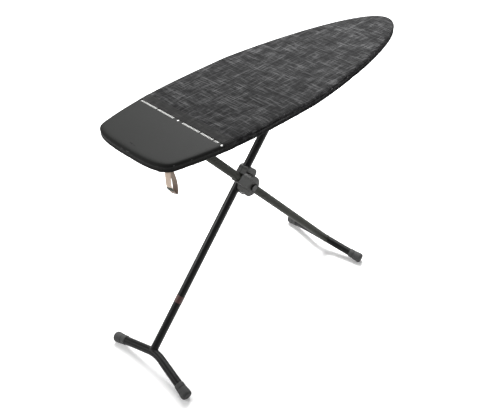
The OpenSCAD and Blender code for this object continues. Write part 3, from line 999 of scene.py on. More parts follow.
class Outline:
    """The board's edge as a smooth closed line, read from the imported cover."""

    def __init__(self, samples: int) -> None:
        """Reads the line and spaces its points evenly.

        Args:
            samples: Number of points round the board.
        """
        self.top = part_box("cover")[1].z
        self.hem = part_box("cover")[0].z
        self.seam_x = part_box("heat_panel")[1].x
        corners = self._corners()
        line = smooth_curve(corners, 60, True)
        closed = np.vstack([line, line[:1]])
        self.points = resample(closed, samples + 1)[:-1]
        ahead = np.roll(self.points, -1, axis=0) - np.roll(self.points, 1, axis=0)
        self.tangents = unit(ahead)
        self.normals = np.stack([self.tangents[:, 1], -self.tangents[:, 0]], axis=1)
        self.step = float(np.linalg.norm(self.points[1] - self.points[0]))
        turning = np.roll(self.tangents, -1, axis=0) - np.roll(self.tangents, 1, axis=0)
        self.curvature = np.linalg.norm(turning, axis=1) / (2.0 * self.step)

    def _corners(self) -> np.ndarray:
        """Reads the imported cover's corner points.

        Returns:
            The points, counter-clockwise from above.
        """
        found = []
        for node in ("cover", "heat_panel"):
            for v in frame["nodes"][node].data.vertices:
                if v.co.z > self.top - 0.05 * MM and abs(v.co.x - self.seam_x) > 0.5 * MM:
                    found.append((round(v.co.x, 6), round(v.co.y, 6)))
        points = np.array(sorted(set(found)))
        middle = points.mean(axis=0)
        angle = np.arctan2(points[:, 1] - middle[1], points[:, 0] - middle[0])
        ordered = points[np.argsort(angle)]
        return np.roll(ordered, -int(np.argmin(ordered[:, 0])), axis=0)

    @property
    def count(self) -> int:
        """Number of points round the board."""
        return len(self.points)

    @property
    def tail_x(self) -> float:
        """The tail end."""
        return float(self.points[:, 0].min())

    @property
    def nose_x(self) -> float:
        """The nose tip."""
        return float(self.points[:, 0].max())

    def inset(self, distance: np.ndarray | float) -> np.ndarray:
        """The line moved inwards.

        Args:
            distance: One distance, or one for each point.

        Returns:
            The moved points.
        """
        moved = np.broadcast_to(np.asarray(distance, float), (self.count,))
        return self.points - self.normals * moved[:, None]

    def filled(self, ring: np.ndarray, level: float, columns: int, up: bool) -> tuple[np.ndarray, list]:
        """A level sheet that fills a ring, in quads from one side of the board to the other.

        Args:
            ring: Points of the ring, one for each point of the line.
            level: Its height.
            columns: Points across the board.
            up: Whether the sheet faces up.

        Returns:
            Its points and faces.
        """
        half = self.count // 2
        share = np.linspace(0.0, 1.0, columns)[:, None]
        rows = [ring[k] + (ring[self.count - k] - ring[k]) * share for k in range(1, half)]
        flat = np.vstack(rows + [ring[:1], ring[half:half + 1]])
        faces: list[tuple[int, ...]] = list(grid_faces(half - 1, columns, False))
        tail, nose, last = len(flat) - 2, len(flat) - 1, (half - 2) * columns
        faces += [(tail, k, k + 1) for k in range(columns - 1)]
        faces += [(last + k, nose, last + k + 1) for k in range(columns - 1)]
        points = np.column_stack([flat, np.full(len(flat), level)])
        return points, faces if up else [tuple(reversed(f)) for f in faces]

    def depth_inside(self, places: np.ndarray) -> np.ndarray:
        """How far inside the edge each place lies.

        Args:
            places: Places in the board's plane.

        Returns:
            The distances; a negative one is outside.
        """
        made = np.zeros(len(places))
        for index, place in enumerate(places):
            gap = self.points - place
            nearest = int(np.argmin((gap**2).sum(axis=1)))
            made[index] = float(gap[nearest] @ self.normals[nearest])
        return made

    def half_width(self, x: float) -> float:
        """Half the board's width at a place along it.

        Args:
            x: The place.

        Returns:
            The half width.
        """
        upper = self.points[self.points[:, 1] > 0]
        order = np.argsort(upper[:, 0])
        return float(np.interp(x, upper[order, 0], upper[order, 1]))


# ---------------------------------------------------------------- cover, felt and steel top


@dataclass(frozen=True)
class Ruffle:
    """Random relief round the board's edge: its knots, seed, height and the level it rises from."""

    knots: int
    seed: int
    size: float
    floor: float | None = None

    def along(self, count: int) -> np.ndarray:
        """The relief at each point of the line.

        Args:
            count: Number of points.

        Returns:
            The relief: signed, or only what rises above the floor.
        """
        relief = loop_noise(count, self.knots, self.seed)
        if self.floor is not None:
            relief = np.clip(relief - self.floor, 0.0, 1.0)
        return relief * self.size


@dataclass
class Cover:
    """The sewn cover: two cloths over the pad, a gathered hem, seams, stitches and print."""

    outline: Outline
    paint: Paintbox
    cloth_thickness: float = 0.8 * MM
    crown_start: float = 30 * MM
    gather_pitch: float = 15 * MM
    gather_depth: float = 3.2 * MM
    gather_wander: float = 1.9
    tight_radius: float = 55 * MM
    swells: Ruffle = Ruffle(46, 31, 0.55 * MM)
    droops: Ruffle = Ruffle(190, 7, 1.6 * MM)
    puckers: Ruffle = Ruffle(150, 23, 4.4 * MM, 0.45)
    tufts: Ruffle = Ruffle(170, 41, 7.0 * MM, 0.50)
    top_columns: int = 33
    seam_slant: float = 0.012
    flat_width: float = 0.52
    strip_width: float = 40 * MM
    strip_rise: float = 0.5 * MM
    stitch_length: float = 3.0 * MM
    stitch_pitch: float = 4.4 * MM
    thread_radius: float = 0.34 * MM
    tick_length: float = 7.5 * MM
    tick_width: float = 2.2 * MM
    tick_pitch: float = 6.2 * MM
    # Steps in from the edge and down from the top, in mm, from the crown to the end of the hem
    section: tuple[tuple[float, float], ...] = (
        (30.0, 0.0), (18.0, 0.2), (10.5, 1.0), (5.0, 2.8), (1.2, 6.2), (-0.8, 10.2), (-0.4, 13.4),
        (1.4, 16.6), (1.2, 19.6), (-0.8, 23.4), (-0.6, 27.4), (2.6, 30.2), (9.0, 30.8), (17.0, 30.0),
        (26.0, 29.4), (33.0, 29.2), (35.2, 28.2), (33.6, 27.4),
    )
    tree: BVHTree = field(init=False)

    def build(self) -> None:
        """Builds the cloths and what is sewn and printed on them."""
        whole = self._whole_sheet()
        self.tree = BVHTree.FromObject(whole, bpy.context.evaluated_depsgraph_get())
        self._mottled(whole)
        self._heat(whole)
        self._strip(whole)
        bpy.data.objects.remove(whole)
        self._stitches()
        self._print()

    def _gathers(self) -> np.ndarray:
        """Folds of the gathered hem round the board.

        Returns:
            Their height at each point of the line, from 0 to 1.
        """
        count = self.outline.count
        run = np.arange(count) * self.outline.step
        length = run[-1] + self.outline.step
        folds = round(length / self.gather_pitch)
        wander = loop_noise(count, folds // 3, 11) * self.gather_wander
        wave = np.cos(2.0 * math.pi * folds * run / length + wander)
        return (0.5 + 0.5 * wave) ** 1.6 * (0.65 + 0.35 * loop_noise(count, folds // 2, 5))

    def _whole_sheet(self) -> bpy.types.Object:
        """The whole cover as one open sheet.

        Returns:
            The sheet.
        """
        line = self.outline
        count = line.count
        tight = np.clip(line.curvature * self.tight_radius, 0.0, 1.0)
        corner = 0.25 + 0.75 * tight
        gathers = self._gathers() * self.gather_depth * corner
        puckers = self.puckers.along(count) * (0.3 + 0.7 * tight)
        droop = self.droops.along(count) * corner
        swell = self.swells.along(count)
        tufts = self.tufts.along(count) * corner
        # The skirt is drawn in below its crown along the mottled cloth, and hardly at the tail
        waist = np.clip((line.points[:, 0] - line.seam_x + 0.06) / 0.12, 0.15, 1.0)
        rows = [np.column_stack([line.inset(self.crown_start), np.full(count, line.top)])]
        for inset_mm, drop_mm in smooth_curve(np.array(self.section), 3, False)[1:]:
            under = np.clip((drop_mm - 9.0) / 20.0, 0.0, 1.0)
            inward = np.clip(inset_mm / 32.0, 0.0, 1.0) * (drop_mm > 28.0)
            fold = gathers * (0.22 * under**2 + 0.9 * inward)
            pucker = puckers * under**3
            ripple = swell * math.sin(math.pi * min(1.0, max(0.0, drop_mm / 30.0)))
            drawn_in = waist if 12.0 < drop_mm < 24.0 and inset_mm > 0.0 else 1.0
            tuft = tufts * float(drop_mm > 26.0)
            inset = inset_mm * MM * drawn_in + fold * 0.6 * under + ripple + pucker * 0.5
            level = line.top - drop_mm * MM + (fold * 0.8 + droop) * inward + pucker - tuft
            rows.append(np.column_stack([line.inset(inset), np.broadcast_to(level, (count,))]))
        skirt = (np.concatenate(rows), grid_faces(len(rows), line.count, True))
        top = line.filled(rows[0][:, :2], line.top, self.top_columns, True)
        whole = mesh_piece("cover_sheet", *join_arrays([skirt, top]))
        merge_close(whole, 0.05 * MM)
        return whole

    def _seam_plane(self, shift: float) -> tuple[Vector, Vector]:
        """A point and the normal of the slanted plane of a seam.

        Args:
            shift: Distance from the main seam towards the nose.

        Returns:
            The point and the normal.
        """
        point = Vector((self.outline.seam_x + shift, 0.0, self.outline.top))
        return point, Vector((1.0, -self.seam_slant, 0.0)).normalized()

    def _mottled(self, whole: bpy.types.Object) -> None:
        """The mottled cloth, from the seam to the nose.

        Args:
            whole: The whole sheet.
        """
        cloth = copy_piece(whole, "mottled_cover")
        point, normal = self._seam_plane(0.0)
        keep_side(cloth, point, -normal)
        thicken(cloth, self.cloth_thickness)
        seat(cloth, "board", Slot.MOTTLED_CLOTH, self.paint, "mottled cloth with skirt and hem", "cover")

    def _heat(self, whole: bpy.types.Object) -> None:
        """The heat-resistant cloth, from the tail to the seam.

        Args:
            whole: The whole sheet.
        """
        cloth = copy_piece(whole, "heat_resistant_cover")
        point, normal = self._seam_plane(0.0)
        keep_side(cloth, point, normal)
        thicken(cloth, self.cloth_thickness)
        seat(cloth, "board", Slot.HEAT_CLOTH, self.paint, "smooth heat-resistant cloth", "heat_panel")

    def _strip(self, whole: bpy.types.Object) -> None:
        """The doubled strip of cloth along the seam.

        Args:
            whole: The whole sheet.
        """
        strip = copy_piece(whole, "seam_strip")
        point, normal = self._seam_plane(0.0)
        keep_side(strip, point, normal)
        point, normal = self._seam_plane(-self.strip_width)
        keep_side(strip, point, -normal)
        thicken(strip, self.strip_rise, 1.0)
        finish = SlubCloth("strip_cloth", (0.012, 0.012, 0.012), (0.048, 0.048, 0.047), 0.8)
        seat(strip, "board", Slot.MOTTLED_CLOTH, self.paint, "doubled strip on the seam", finish=finish)

    def _section_line(self, shift: float) -> tuple[np.ndarray, np.ndarray]:
        """A line over the board along a slanted plane, from one skirt to the other.

        Args:
            shift: Distance from the main seam towards the nose.

        Returns:
            The line's points and the cloth's normals there, evenly spaced at a stitch pitch.
        """
        line = self.outline
        base = line.seam_x + shift
        half = line.half_width(base)
        probes = []
        levels = np.linspace(line.hem + 4 * MM, line.top - 7 * MM, 8)
        for level in levels:
            probes.append((Vector((base - half * self.seam_slant, -half - 0.1, level)), Vector((0, 1, 0))))
        for y in np.linspace(-half + 6 * MM, half - 6 * MM, 60):
            probes.append((Vector((base + y * self.seam_slant, y, line.top + 0.1)), Vector((0, 0, -1))))
        for level in levels[::-1]:
            probes.append((Vector((base + half * self.seam_slant, half + 0.1, level)), Vector((0, -1, 0))))
        hits = [self.tree.ray_cast(origin, direction) for origin, direction in probes]
        rough = np.array([tuple(hit[0]) for hit in hits if hit[0] is not None])
        steps = np.linalg.norm(np.diff(rough, axis=0), axis=1).sum()
        even = resample(rough, int(steps / self.stitch_pitch))
        on_cloth = [self.tree.find_nearest(Vector(p)) for p in even]
        return np.array([tuple(n[0]) for n in on_cloth]), np.array([tuple(n[1]) for n in on_cloth])

    def _stitches(self) -> None:
        """Two rows of stitches along the strip."""
        parts = []
        for shift in (-2.5 * MM, -self.strip_width + 2.5 * MM):
            points, normals = self._section_line(shift)
            ahead = unit(np.gradient(points, axis=0))
            for point, normal, along in zip(points, normals, ahead):
                lift = self.strip_rise + 0.15 * MM
                bow = np.array([-0.4, 0.15, 0.3, 0.15, -0.4]) * MM
                reach = np.linspace(-0.5, 0.5, 5) * self.stitch_length
                path = point + np.outer(reach, along) + np.outer(lift + bow, normal)
                parts.append(tube_arrays(path, self.thread_radius, 6))
        stitches = mesh_piece("seam_stitches", *join_arrays(parts))
        thread = PlainCloth("seam_thread", (0.045, 0.045, 0.044))
        seat(stitches, "board", Slot.MOTTLED_CLOTH, self.paint, "two rows of stitches", finish=thread)

    def _print(self) -> None:
        """A row of plain slanted ticks with a lozenge at the middle and near the edge."""
        parts = []
        shift = -self.strip_width - 0.5 * self.tick_length - 1.5 * MM
        points, normals = self._section_line(shift)
        run = np.concatenate([[0.0], np.cumsum(np.linalg.norm(np.diff(points, axis=0), axis=1))])
        middle, skirt = 0.5 * run[-1], 0.03
        place = skirt + 0.012
        while place < run[-1] - skirt - 0.012:
            gap = abs(place - middle)
            near_edge = abs(place - (skirt + 0.03)) < 5 * MM
            word_gap = abs(gap - 0.105) < 4 * MM
            if gap > 0.022 and not near_edge and not word_gap:
                parts.append(self._patch(points, normals, run, place, self.tick_width, self.tick_length, 0.3))
            place += self.tick_pitch
        for place in (middle, skirt - 6 * MM):
            parts.append(self._patch(points, normals, run, place, 6.0 * MM, 9.0 * MM, 0.0, True))
        ticks = mesh_piece("printed_ticks", *join_arrays(parts))
        thicken(ticks, 0.12 * MM, 1.0)
        seat(ticks, "board", Slot.HEAT_CLOTH, self.paint, "printed row of plain ticks", finish=Ink())

    def _patch(
        self,
        points: np.ndarray,
        normals: np.ndarray,
        run: np.ndarray,
        place: float,
        width: float,
        length: float,
        lean: float,
        lozenge: bool = False,
    ) -> tuple[np.ndarray, list]:
        """A small printed shape that lies on the cloth.

        Args:
            points: The row's line.
            normals: The cloth's normals along it.
            run: The distance along it.
            place: Distance of this shape along the line.
            width: Size along the line.
            length: Size across the line.
            lean: Slant of the shape.
            lozenge: Whether it narrows to points.

        Returns:
            Its points and faces.
        """
        centre = np.array([np.interp(place, run, points[:, k]) for k in range(3)])
        ahead = unit(np.array([np.interp(place + MM, run, points[:, k]) for k in range(3)]) - centre)
        normal = unit(np.array([np.interp(place, run, normals[:, k]) for k in range(3)]))
        across = np.cross(normal, ahead)
        made = []
        for v in np.linspace(-0.5, 0.5, 7):
            narrow = math.sqrt(max(0.0, 1.0 - (2 * v) ** 2)) if lozenge else 1.0
            for u in (-0.5, 0.0, 0.5):
                along = u * width * max(narrow, 0.05) + v * lean * length
                flat = centre + across * (v * length) + ahead * along
                on_cloth = self.tree.find_nearest(Vector(flat))
                made.append(np.array(on_cloth[0]) + np.array(on_cloth[1]) * 0.10 * MM)
        return np.array(made), [tuple(reversed(f)) for f in grid_faces(7, 3, False)]


@dataclass
class FeltPad:
    """The felt pad between the cover and the steel top."""

    outline: Outline
    paint: Paintbox
    inset: float = 6.0 * MM
    edge_radius: float = 9.5 * MM

    def build(self) -> None:
        """Builds the pad as a closed shape with soft edges."""
        low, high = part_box("felt_pad")[0].z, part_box("felt_pad")[1].z
        line = self.outline
        rows = []
        for turn in np.linspace(math.pi / 2, 0.0, 7):
            inset = self.inset + self.edge_radius * (1.0 - math.cos(turn))
            level = low + (high - low) * math.sin(turn)
            rows.append(np.column_stack([line.inset(inset), np.full(line.count, level)]))
        edge = (np.concatenate(rows), grid_faces(len(rows), line.count, True))
        top = line.filled(rows[0][:, :2], high, 13, True)
        under = line.filled(rows[-1][:, :2], low, 13, False)
        pad = mesh_piece("felt_layer", *join_arrays([edge, top, under]))
        merge_close(pad, 0.05 * MM)
        seat(pad, "board", Slot.FELT, self.paint, "felt pad with soft edges", "felt_pad")


@dataclass
class MeshTop:
    """The perforated steel top with its hexagonal steam holes and a plain border."""

    outline: Outline
    paint: Paintbox
    hole_pitch: float = 16 * MM
    hole_share: float = 0.80
    border: float = 15 * MM

    def build(self) -> None:
        """Builds the plate from hexagonal cells and a border strip."""
        low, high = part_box("steel_top")[0].z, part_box("steel_top")[1].z
        parts = [self._cell(x, y, high) for x, y in self._centres()]
        line = self.outline
        outer, inner = line.inset(2.2 * MM), line.inset(self.border)
        rim = np.column_stack([np.vstack([inner, outer]), np.full(2 * line.count, high)])
        parts.append((rim, grid_faces(2, line.count, True)))
        plate = mesh_piece("perforated_top", *join_arrays(parts), smooth=False)
        merge_close(plate, 0.05 * MM)
        thicken(plate, high - low)
        seat(plate, "board", Slot.MESH_STEEL, self.paint, "perforated steel top", "steel_top")

    def _centres(self) -> np.ndarray:
        """Places the cells in staggered rows.

        Returns:
            Centres of the cells that lie inside the border.
        """
        line = self.outline
        pitch, row_pitch = self.hole_pitch, self.hole_pitch * math.sqrt(0.75)
        rows = math.ceil(0.25 / row_pitch)
        columns = math.ceil((line.nose_x - line.tail_x) / pitch)
        places = []
        for row in range(-rows, rows + 1):
            for column in range(columns + 1):
                shift = 0.5 * (row % 2)
                places.append((line.tail_x + (column + shift) * pitch, row * row_pitch))
        all_places = np.array(places)
        return all_places[line.depth_inside(all_places) > self.border - 0.45 * pitch]

    def _cell(self, x: float, y: float, level: float) -> tuple[np.ndarray, list]:
        """One hexagonal cell with a hole.

        Args:
            x: Its place along the board.
            y: Its place across the board.
            level: Its height.

        Returns:
            Its points and faces.
        """
        outer = self.hole_pitch / math.sqrt(3.0)
        turn = np.radians(np.arange(6) * 60.0 + 30.0)
        spokes = np.stack([np.cos(turn), np.sin(turn)], axis=1)
        flat = np.vstack([spokes * outer * self.hole_share, spokes * outer]) + np.array([x, y])
        points = np.column_stack([flat, np.full(12, level)])
        return points, grid_faces(2, 6, True)


# ---------------------------------------------------------------- hanging loop


@dataclass
class HangingLoop:
    """The webbing loop below the tail corner, with its sewn patch."""

    outline: Outline
    paint: Paintbox
    width: float = 20 * MM
    thickness: float = 1.5 * MM
    drop: float = 98 * MM
    belly: float = 34 * MM
    turn: float = 20.0
    inset: float = 29 * MM
    side: float = 150 * MM
    ribs: int = 5

    def build(self) -> None:
        """Builds the ribbon and its patch."""
        path = self._path()
        ribbon = self._ribbon("webbing_loop", path, self.width, self.thickness, 0.22 * MM)
        seat(ribbon, "board", Slot.WEBBING, self.paint, "webbing loop", "hanging_loop")
        self._patch(path)

    def _axes(self) -> tuple[np.ndarray, np.ndarray, np.ndarray]:
        """Where the loop hangs and how it is turned.

        Returns:
            Its origin and its two level directions: towards the nose, and across.
        """
        a = math.radians(self.turn)
        origin = np.array([self.outline.tail_x + self.inset, -self.side, self.outline.hem])
        return origin, np.array([math.cos(a), math.sin(a), 0.0]), np.array([math.sin(a), -math.cos(a), 0.0])

    def _path(self) -> np.ndarray:
        """Centreline of the webbing in the plane of the loop.

        Returns:
            Reach and height below the hem, in metres.
        """
        t, b, d = self.thickness / 2, self.belly, self.drop
        points = np.array([
            (t + 1.0 * MM, 2.0 * MM), (t, -0.10 * d), (t - 0.6 * MM, -0.30 * d), (t - 0.4 * MM, -0.46 * d),
            (t + 1.2 * MM, -0.575 * d), (0.16 * b, -0.68 * d), (0.38 * b, -0.80 * d), (0.62 * b, -0.93 * d),
            (0.80 * b, -1.015 * d), (0.90 * b, -1.035 * d), (0.98 * b, -1.005 * d), (1.04 * b, -0.90 * d),
            (1.06 * b, -0.74 * d), (0.98 * b, -0.52 * d), (0.80 * b, -0.30 * d), (0.60 * b, -0.10 * d),
            (0.52 * b, 2.0 * MM),
        ])
        return resample(smooth_curve(points, 8, False), 90)

    def _ribbon(
        self,
        name: str,
        path: np.ndarray,
        width: float,
        thickness: float,
        rib: float,
    ) -> bpy.types.Object:
        """A closed ribbon along a path, with lengthwise ribs on both faces.

        Args:
            name: The piece's name.
            path: Its centreline in the plane of the loop.
            width: Its width.
            thickness: Its thickness.
            rib: Height of the ribs.

        Returns:
            The piece.
        """
        origin, reach, across = self._axes()
        ahead = unit(np.gradient(path, axis=0))
        side = np.stack([ahead[:, 1], -ahead[:, 0]], axis=1)
        steps = self.ribs * 4
        share = np.linspace(0.0, 1.0, steps + 1)
        off_middle = np.abs(share - 0.5)
        valleys = 0.5 + 0.5 * np.cos(2 * math.pi * self.ribs * share)
        relief = thickness / 2 - rib * valleys * (off_middle < 0.49)
        edge = np.sqrt(np.clip(1.0 - (off_middle * 2.0) ** 10, 0.05, 1.0))
        loop_share = np.concatenate([share, share[::-1]])
        loop_relief = np.concatenate([relief * edge, -(relief * edge)[::-1]])
        rings = []
        for (u, z), (nu, nz) in zip(path, side):
            flat = origin + reach * u + np.array([0.0, 0.0, z])
            normal = reach * nu + np.array([0.0, 0.0, nz])
            rings.append(flat + np.outer(loop_share * width, across) + np.outer(loop_relief, normal))
        count = len(loop_share)
        faces = grid_faces(len(path), count, True)
        faces.append(tuple(range(count - 1, -1, -1)))
        faces.append(tuple(range((len(path) - 1) * count, len(path) * count)))
        return mesh_piece(name, np.concatenate(rings), faces)

    def _patch(self, path: np.ndarray) -> None:
        """The patch sewn round the outer strand.

        Args:
            path: The webbing's centreline.
        """
        outer = path[path[:, 0] < 0.45 * self.belly]
        stretch = outer[(outer[:, 1] < -0.60 * self.drop) & (outer[:, 1] > -0.80 * self.drop)]
        ahead = unit(np.gradient(stretch, axis=0))
        outward = np.stack([ahead[:, 1], -ahead[:, 0]], axis=1) * (self.thickness / 2 + 0.35 * MM)
        patch = self._ribbon("sewn_patch", stretch + outward, self.width + 0.6 * MM, 0.7 * MM, 0.0)
        seat(patch, "board", Slot.PATCH_CLOTH, self.paint, "patch on the loop", "loop_patch")


# ---------------------------------------------------------------- legs, feet and hub


class Leg(Enum):
    """The two legs of the scissor frame."""

    TAIL = "tail_leg"
    SLIDING = "sliding_leg"


@dataclass
class LegFrame:
    """Axes of one leg: down the leg from its top axis, across, and out of its upper side."""

    leg: Leg
    origin: np.ndarray = field(init=False)
    down: np.ndarray = field(init=False)
    up: np.ndarray = field(init=False)
    pivot_reach: float = field(init=False)

    def __post_init__(self) -> None:
        """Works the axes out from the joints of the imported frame."""
        places = {j["name"]: np.array(j["pos_m"], float) for j in frame["joints"]}
        start = places["fold"] if self.leg is Leg.TAIL else places["lever_squeeze"]
        gap = places["scissor_pivot"] - start
        self.origin = start
        self.pivot_reach = float(np.linalg.norm(gap))
        self.down = unit(gap)
        sign = 1.0 if self.leg is Leg.TAIL else -1.0
        self.up = sign * np.cross(self.down, np.array([0.0, 1.0, 0.0]))

    def point(self, reach: float, across: float, out: float = 0.0) -> np.ndarray:
        """A place in the frame's axes.

        Args:
            reach: Distance down the leg from its top axis.
            across: Distance along Y.
            out: Distance out of the leg's upper side.

        Returns:
            The place.
        """
        return self.origin + self.down * reach + np.array([0.0, across, 0.0]) + self.up * out


@dataclass
class Foot:
    """One foot: its ribbed rubber caps and the weld to its leg."""

    leg: LegFrame
    paint: Paintbox
    prefix: str = "rear"
    leg_side: float = -36 * MM
    leg_length: float = 1256 * MM
    leg_radius: float = 16 * MM
    tube_radius: float = 17 * MM
    foot_half: float = 206 * MM
    bend: float = 14.0
    bend_radius: float = 150 * MM
    cap_radius: float = 22 * MM
    cap_round: float = 10 * MM
    cap_length: float = 60 * MM
    collar_radius: float = 19 * MM
    groove_at: float = 38 * MM
    groove_width: float = 3.4 * MM
    flutes: int = 22
    flute_depth: float = 0.75 * MM

    def build(self) -> None:
        """Builds both caps and the weld."""
        for label, side in (("left", 1.0), ("right", -1.0)):
            self._cap(label, side)
        self._weld()

    def _profile(self) -> np.ndarray:
        """The cap's half section, from the centre of its end to its mouth.

        Returns:
            Radius and distance from the end, in metres.
        """
        r, c, e = self.cap_radius, self.collar_radius, self.cap_round
        core = r - e
        points = [(0.0, 0.35 * MM), (0.45 * core, 0.2 * MM), (0.9 * core, 0.0)]
        for turn in np.linspace(12.0, 90.0, 9):
            a = math.radians(turn)
            points.append((core + e * math.sin(a), e - e * math.cos(a)))
        neck, lip = self.groove_at, self.groove_at + self.groove_width
        mouth, bore = self.cap_length, self.tube_radius + 0.1 * MM
        points += [
            (r, e + 3 * MM), (r - 0.5 * MM, e + 8 * MM), (c + 1.7 * MM, neck - 11 * MM),
            (c + 0.9 * MM, neck - 5 * MM), (c + 0.9 * MM, neck - 1.2 * MM), (c + 0.5 * MM, neck - 0.4 * MM),
            (c - 1.1 * MM, neck), (c - 1.3 * MM, neck + 0.5 * self.groove_width), (c - 1.1 * MM, lip),
            (c + 0.3 * MM, lip + 0.4 * MM), (c + 0.5 * MM, lip + 1.2 * MM), (c + 0.1 * MM, mouth - 6 * MM),
            (c, mouth - 0.8 * MM), (c - 0.6 * MM, mouth), (bore, mouth), (bore, mouth - 5 * MM),
        ]
        return np.array(points)

    def _cap(self, label: str, side: float) -> None:
        """One cap, turned about its foot arm, with flutes and a wear flat.

        Args:
            label: left or right.
            side: +1 or -1 along Y.
        """
        a = math.radians(self.bend)
        inward = unit(self.leg.down * -math.sin(a) + np.array([0.0, -side * math.cos(a), 0.0]))
        start = self.leg.point(self.leg_length, side * self.foot_half) - inward * self.cap_round
        across = unit(np.cross(inward, self.leg.up))
        up = np.cross(across, inward)
        profile = self._profile()
        steps = self.flutes * 6
        turn = np.linspace(0.0, 2.0 * math.pi, steps, endpoint=False)
        flute = (0.5 - 0.5 * np.cos(self.flutes * turn)) ** 1.5
        rings = []
        for radius, reach in profile:
            fluted = math.exp(-(((reach - 0.5 * self.groove_at - 1 * MM) / (13 * MM)) ** 4))
            out = radius - self.flute_depth * fluted * flute * (radius > self.tube_radius)
            spokes = np.outer(np.cos(turn) * out, across) + np.outer(np.sin(turn) * out, up)
            rings.append(start + inward * reach + spokes)
        points = np.concatenate(rings)
        points[:, 2] = np.maximum(points[:, 2], 0.0)
        faces = [tuple(reversed(f)) for f in grid_faces(len(profile), steps, True)]
        cap = mesh_piece(f"{self.prefix}_foot_cap_{label}", points, faces)
        merge_close(cap, 0.03 * MM)
        node = f"{self.prefix}_cap_{label}"
        seat(cap, self.leg.leg.value, Slot.CAP_RUBBER, self.paint, "ribbed rubber cap", node)

    def _off_foot(self, reach: float, across: float, out: float) -> float:
        """Distance of a place from the foot tube's centreline, less the tube's radius.

        Args:
            reach: Distance down the leg.
            across: Distance along Y.
            out: Distance out of the leg's upper side.

        Returns:
            The gap to the tube's surface.
        """
        a = math.radians(self.bend)
        arm = (self.foot_half - self.bend_radius * math.sin(a)) / math.cos(a)
        crown = self.leg_length - self.bend_radius * (1 - math.cos(a)) - arm * math.sin(a)
        centre = crown + self.bend_radius
        spoke = math.hypot(centre - reach, across)
        bearing = math.atan2(abs(across), centre - reach)
        if bearing <= a:
            flat = abs(spoke - self.bend_radius)
        else:
            flat = abs((centre - reach) * math.cos(a) + abs(across) * math.sin(a) - self.bend_radius)
        return math.hypot(flat, out) - self.tube_radius

    def _weld(self) -> None:
        """A rippled bead where the leg tube meets the foot tube."""
        path = []
        for turn in np.linspace(0.0, 2.0 * math.pi, 120, endpoint=False):
            across = self.leg_side + self.leg_radius * math.cos(turn)
            out = self.leg_radius * math.sin(turn)
            steps = np.arange(self.leg_length - 120 * MM, self.leg_length, 0.2 * MM)
            touch = next(reach for reach in steps if self._off_foot(reach, across, out) <= 0.0)
            path.append(self.leg.point(touch, across, out))
        ripple = 2.0 * MM + 0.25 * MM * np.cos(np.arange(120) * 2.0 * math.pi / 5.0)
        bead = mesh_piece(f"{self.prefix}_foot_weld", *tube_arrays(np.array(path), ripple, 10, True))
        # The tail leg's weld takes its leg's paint, the black paint with painted light
        slot = Slot.LIT_BLACK_PAINT if self.leg.leg is Leg.TAIL else Slot.BLACK_PAINT
        seat(bead, self.leg.leg.value, slot, self.paint, "weld between leg and foot")


@dataclass
class CadDressing:
    """Materials for the CAD nodes that stay, and rounded edges on the mouldings that show most."""

    paint: Paintbox
    hub_cell: float = 0.8 * MM
    trim_cell: float = 0.5 * MM

    def dress(self) -> None:
        """Gives every CAD node smooth shading and the finish of its slot in the record."""
        slots = {row["node"]: Slot(row["material_slot"]) for row in frame["record"]["subparts"]}
        for name, obj in frame["nodes"].items():
            self.paint.coat(obj, FINISHES[slots[name]])
            obj.data.polygons.foreach_set("use_smooth", [True] * len(obj.data.polygons))
            obj.data.update()
        for name in ("hub_shell_inner", "hub_shell_outer"):
            soften_moulding(frame["nodes"][name], self.hub_cell, 4)
        for name in ("pivot_cap", "lever_grip"):
            soften_moulding(frame["nodes"][name], self.trim_cell, 3)
        LOG.info("dressed %d CAD nodes", len(frame["nodes"]))


# ---------------------------------------------------------------- studio


@dataclass(frozen=True)
class Softbox:
    """One square soft light: where it stands, what it points at, its side and its watts."""

    name: str
    place: Place
    aim: Place
    size: float
    power: float

    def build(self) -> None:
        """Builds the light."""
        light = bpy.data.lights.new(self.name, "AREA")
        light.size = self.size
        light.energy = self.power
        obj = bpy.data.objects.new(self.name, light)
        obj.location = self.place
        facing = Vector(self.aim) - Vector(self.place)
        obj.rotation_euler = facing.to_track_quat("-Z", "Y").to_euler()
        bpy.context.scene.collection.objects.link(obj)


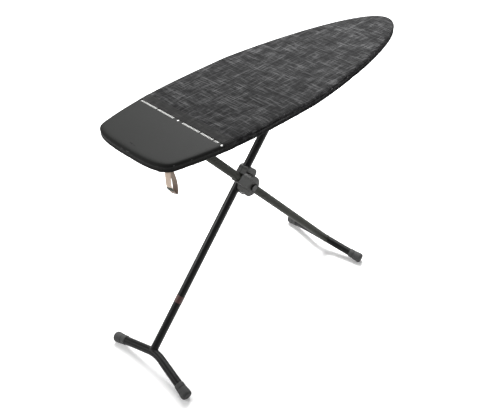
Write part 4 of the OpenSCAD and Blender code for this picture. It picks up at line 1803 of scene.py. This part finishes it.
@dataclass
class Studio:
    """Pale floor, soft lights and the camera."""

    paint: Paintbox
    camera_place: Place = (-1.6775, -1.5505, 2.1880)
    heading: float = 44.809
    dip: float = 38.078
    roll: float = -0.808
    lens: float = 51.27
    floor_half: float = 14.0
    floor_steps: int = 8
    sky_strength: float = 0.42
    softboxes: tuple[Softbox, ...] = (
        Softbox("back_key", (2.4, 2.6, 5.4), (0.2, 0.0, 0.5), 4.5, 520.0),
        Softbox("nose_fill", (1.25, 0.8, 2.2), (0.62, 0.0, 1.0), 0.9, 72.0),
        Softbox("left_strip", (-2.6, 1.6, 1.9), (-0.2, 0.0, 0.5), 0.9, 40.0),
    )

    def build(self) -> None:
        """Builds the floor, the lights and the camera."""
        self._floor()
        self._lights()
        self._camera()

    def _floor(self) -> None:
        """A wide level sheet under the feet."""
        steps = self.floor_steps
        ticks = np.linspace(-self.floor_half, self.floor_half, steps + 1)
        points = [(x, y, -0.0002) for y in ticks for x in ticks]
        faces = [tuple(reversed(f)) for f in grid_faces(steps + 1, steps + 1, False)]
        floor = mesh_piece("studio_floor", np.array(points), faces)
        self.paint.coat(floor, FloorPaper())

    def _lights(self) -> None:
        """White surroundings with one large key light and two weaker ones."""
        world = bpy.data.worlds.new("white_surroundings")
        bpy.context.scene.world = world
        world.use_nodes = True
        sky = world.node_tree.nodes["Background"]
        sky.inputs["Color"].default_value = (1.0, 1.0, 1.0, 1.0)
        sky.inputs["Strength"].default_value = self.sky_strength
        for softbox in self.softboxes:
            softbox.build()
        scene = bpy.context.scene
        scene.view_settings.view_transform = "Standard"
        scene.view_settings.look = "None"
        scene.view_settings.exposure = 0.0

    def _camera(self) -> None:
        """A camera above the tail's near corner, looking along the board."""
        yaw, dip, roll = (math.radians(v) for v in (self.heading, self.dip, self.roll))
        ahead = Vector((math.cos(dip) * math.cos(yaw), math.cos(dip) * math.sin(yaw), -math.sin(dip)))
        right = ahead.cross(Vector((0.0, 0.0, 1.0))).normalized()
        up = right.cross(ahead)
        turned_right = right * math.cos(roll) + up * math.sin(roll)
        turned_up = up * math.cos(roll) - right * math.sin(roll)
        axes = Matrix((turned_right, turned_up, -ahead)).transposed()
        data = bpy.data.cameras.new("camera")
        data.lens = self.lens
        data.sensor_width = 36.0
        camera = bpy.data.objects.new("camera", data)
        camera.matrix_world = Matrix.Translation(Vector(self.camera_place)) @ axes.to_4x4()
        bpy.context.scene.collection.objects.link(camera)
        bpy.context.scene.camera = camera


def main() -> None:
    """Builds and dresses every part in order."""
    logging.basicConfig(level=logging.INFO, format="%(message)s")
    paint = Paintbox()
    Studio(paint).build()
    CadDressing(paint).dress()
    outline = Outline(1300)
    FeltPad(outline, paint).build()
    MeshTop(outline, paint).build()
    Cover(outline, paint).build()
    HangingLoop(outline, paint).build()
    Foot(LegFrame(Leg.TAIL), paint, "rear", -36 * MM).build()
    Foot(LegFrame(Leg.SLIDING), paint, "front", 19 * MM).build()


if __name__ == "__main__":
    main()
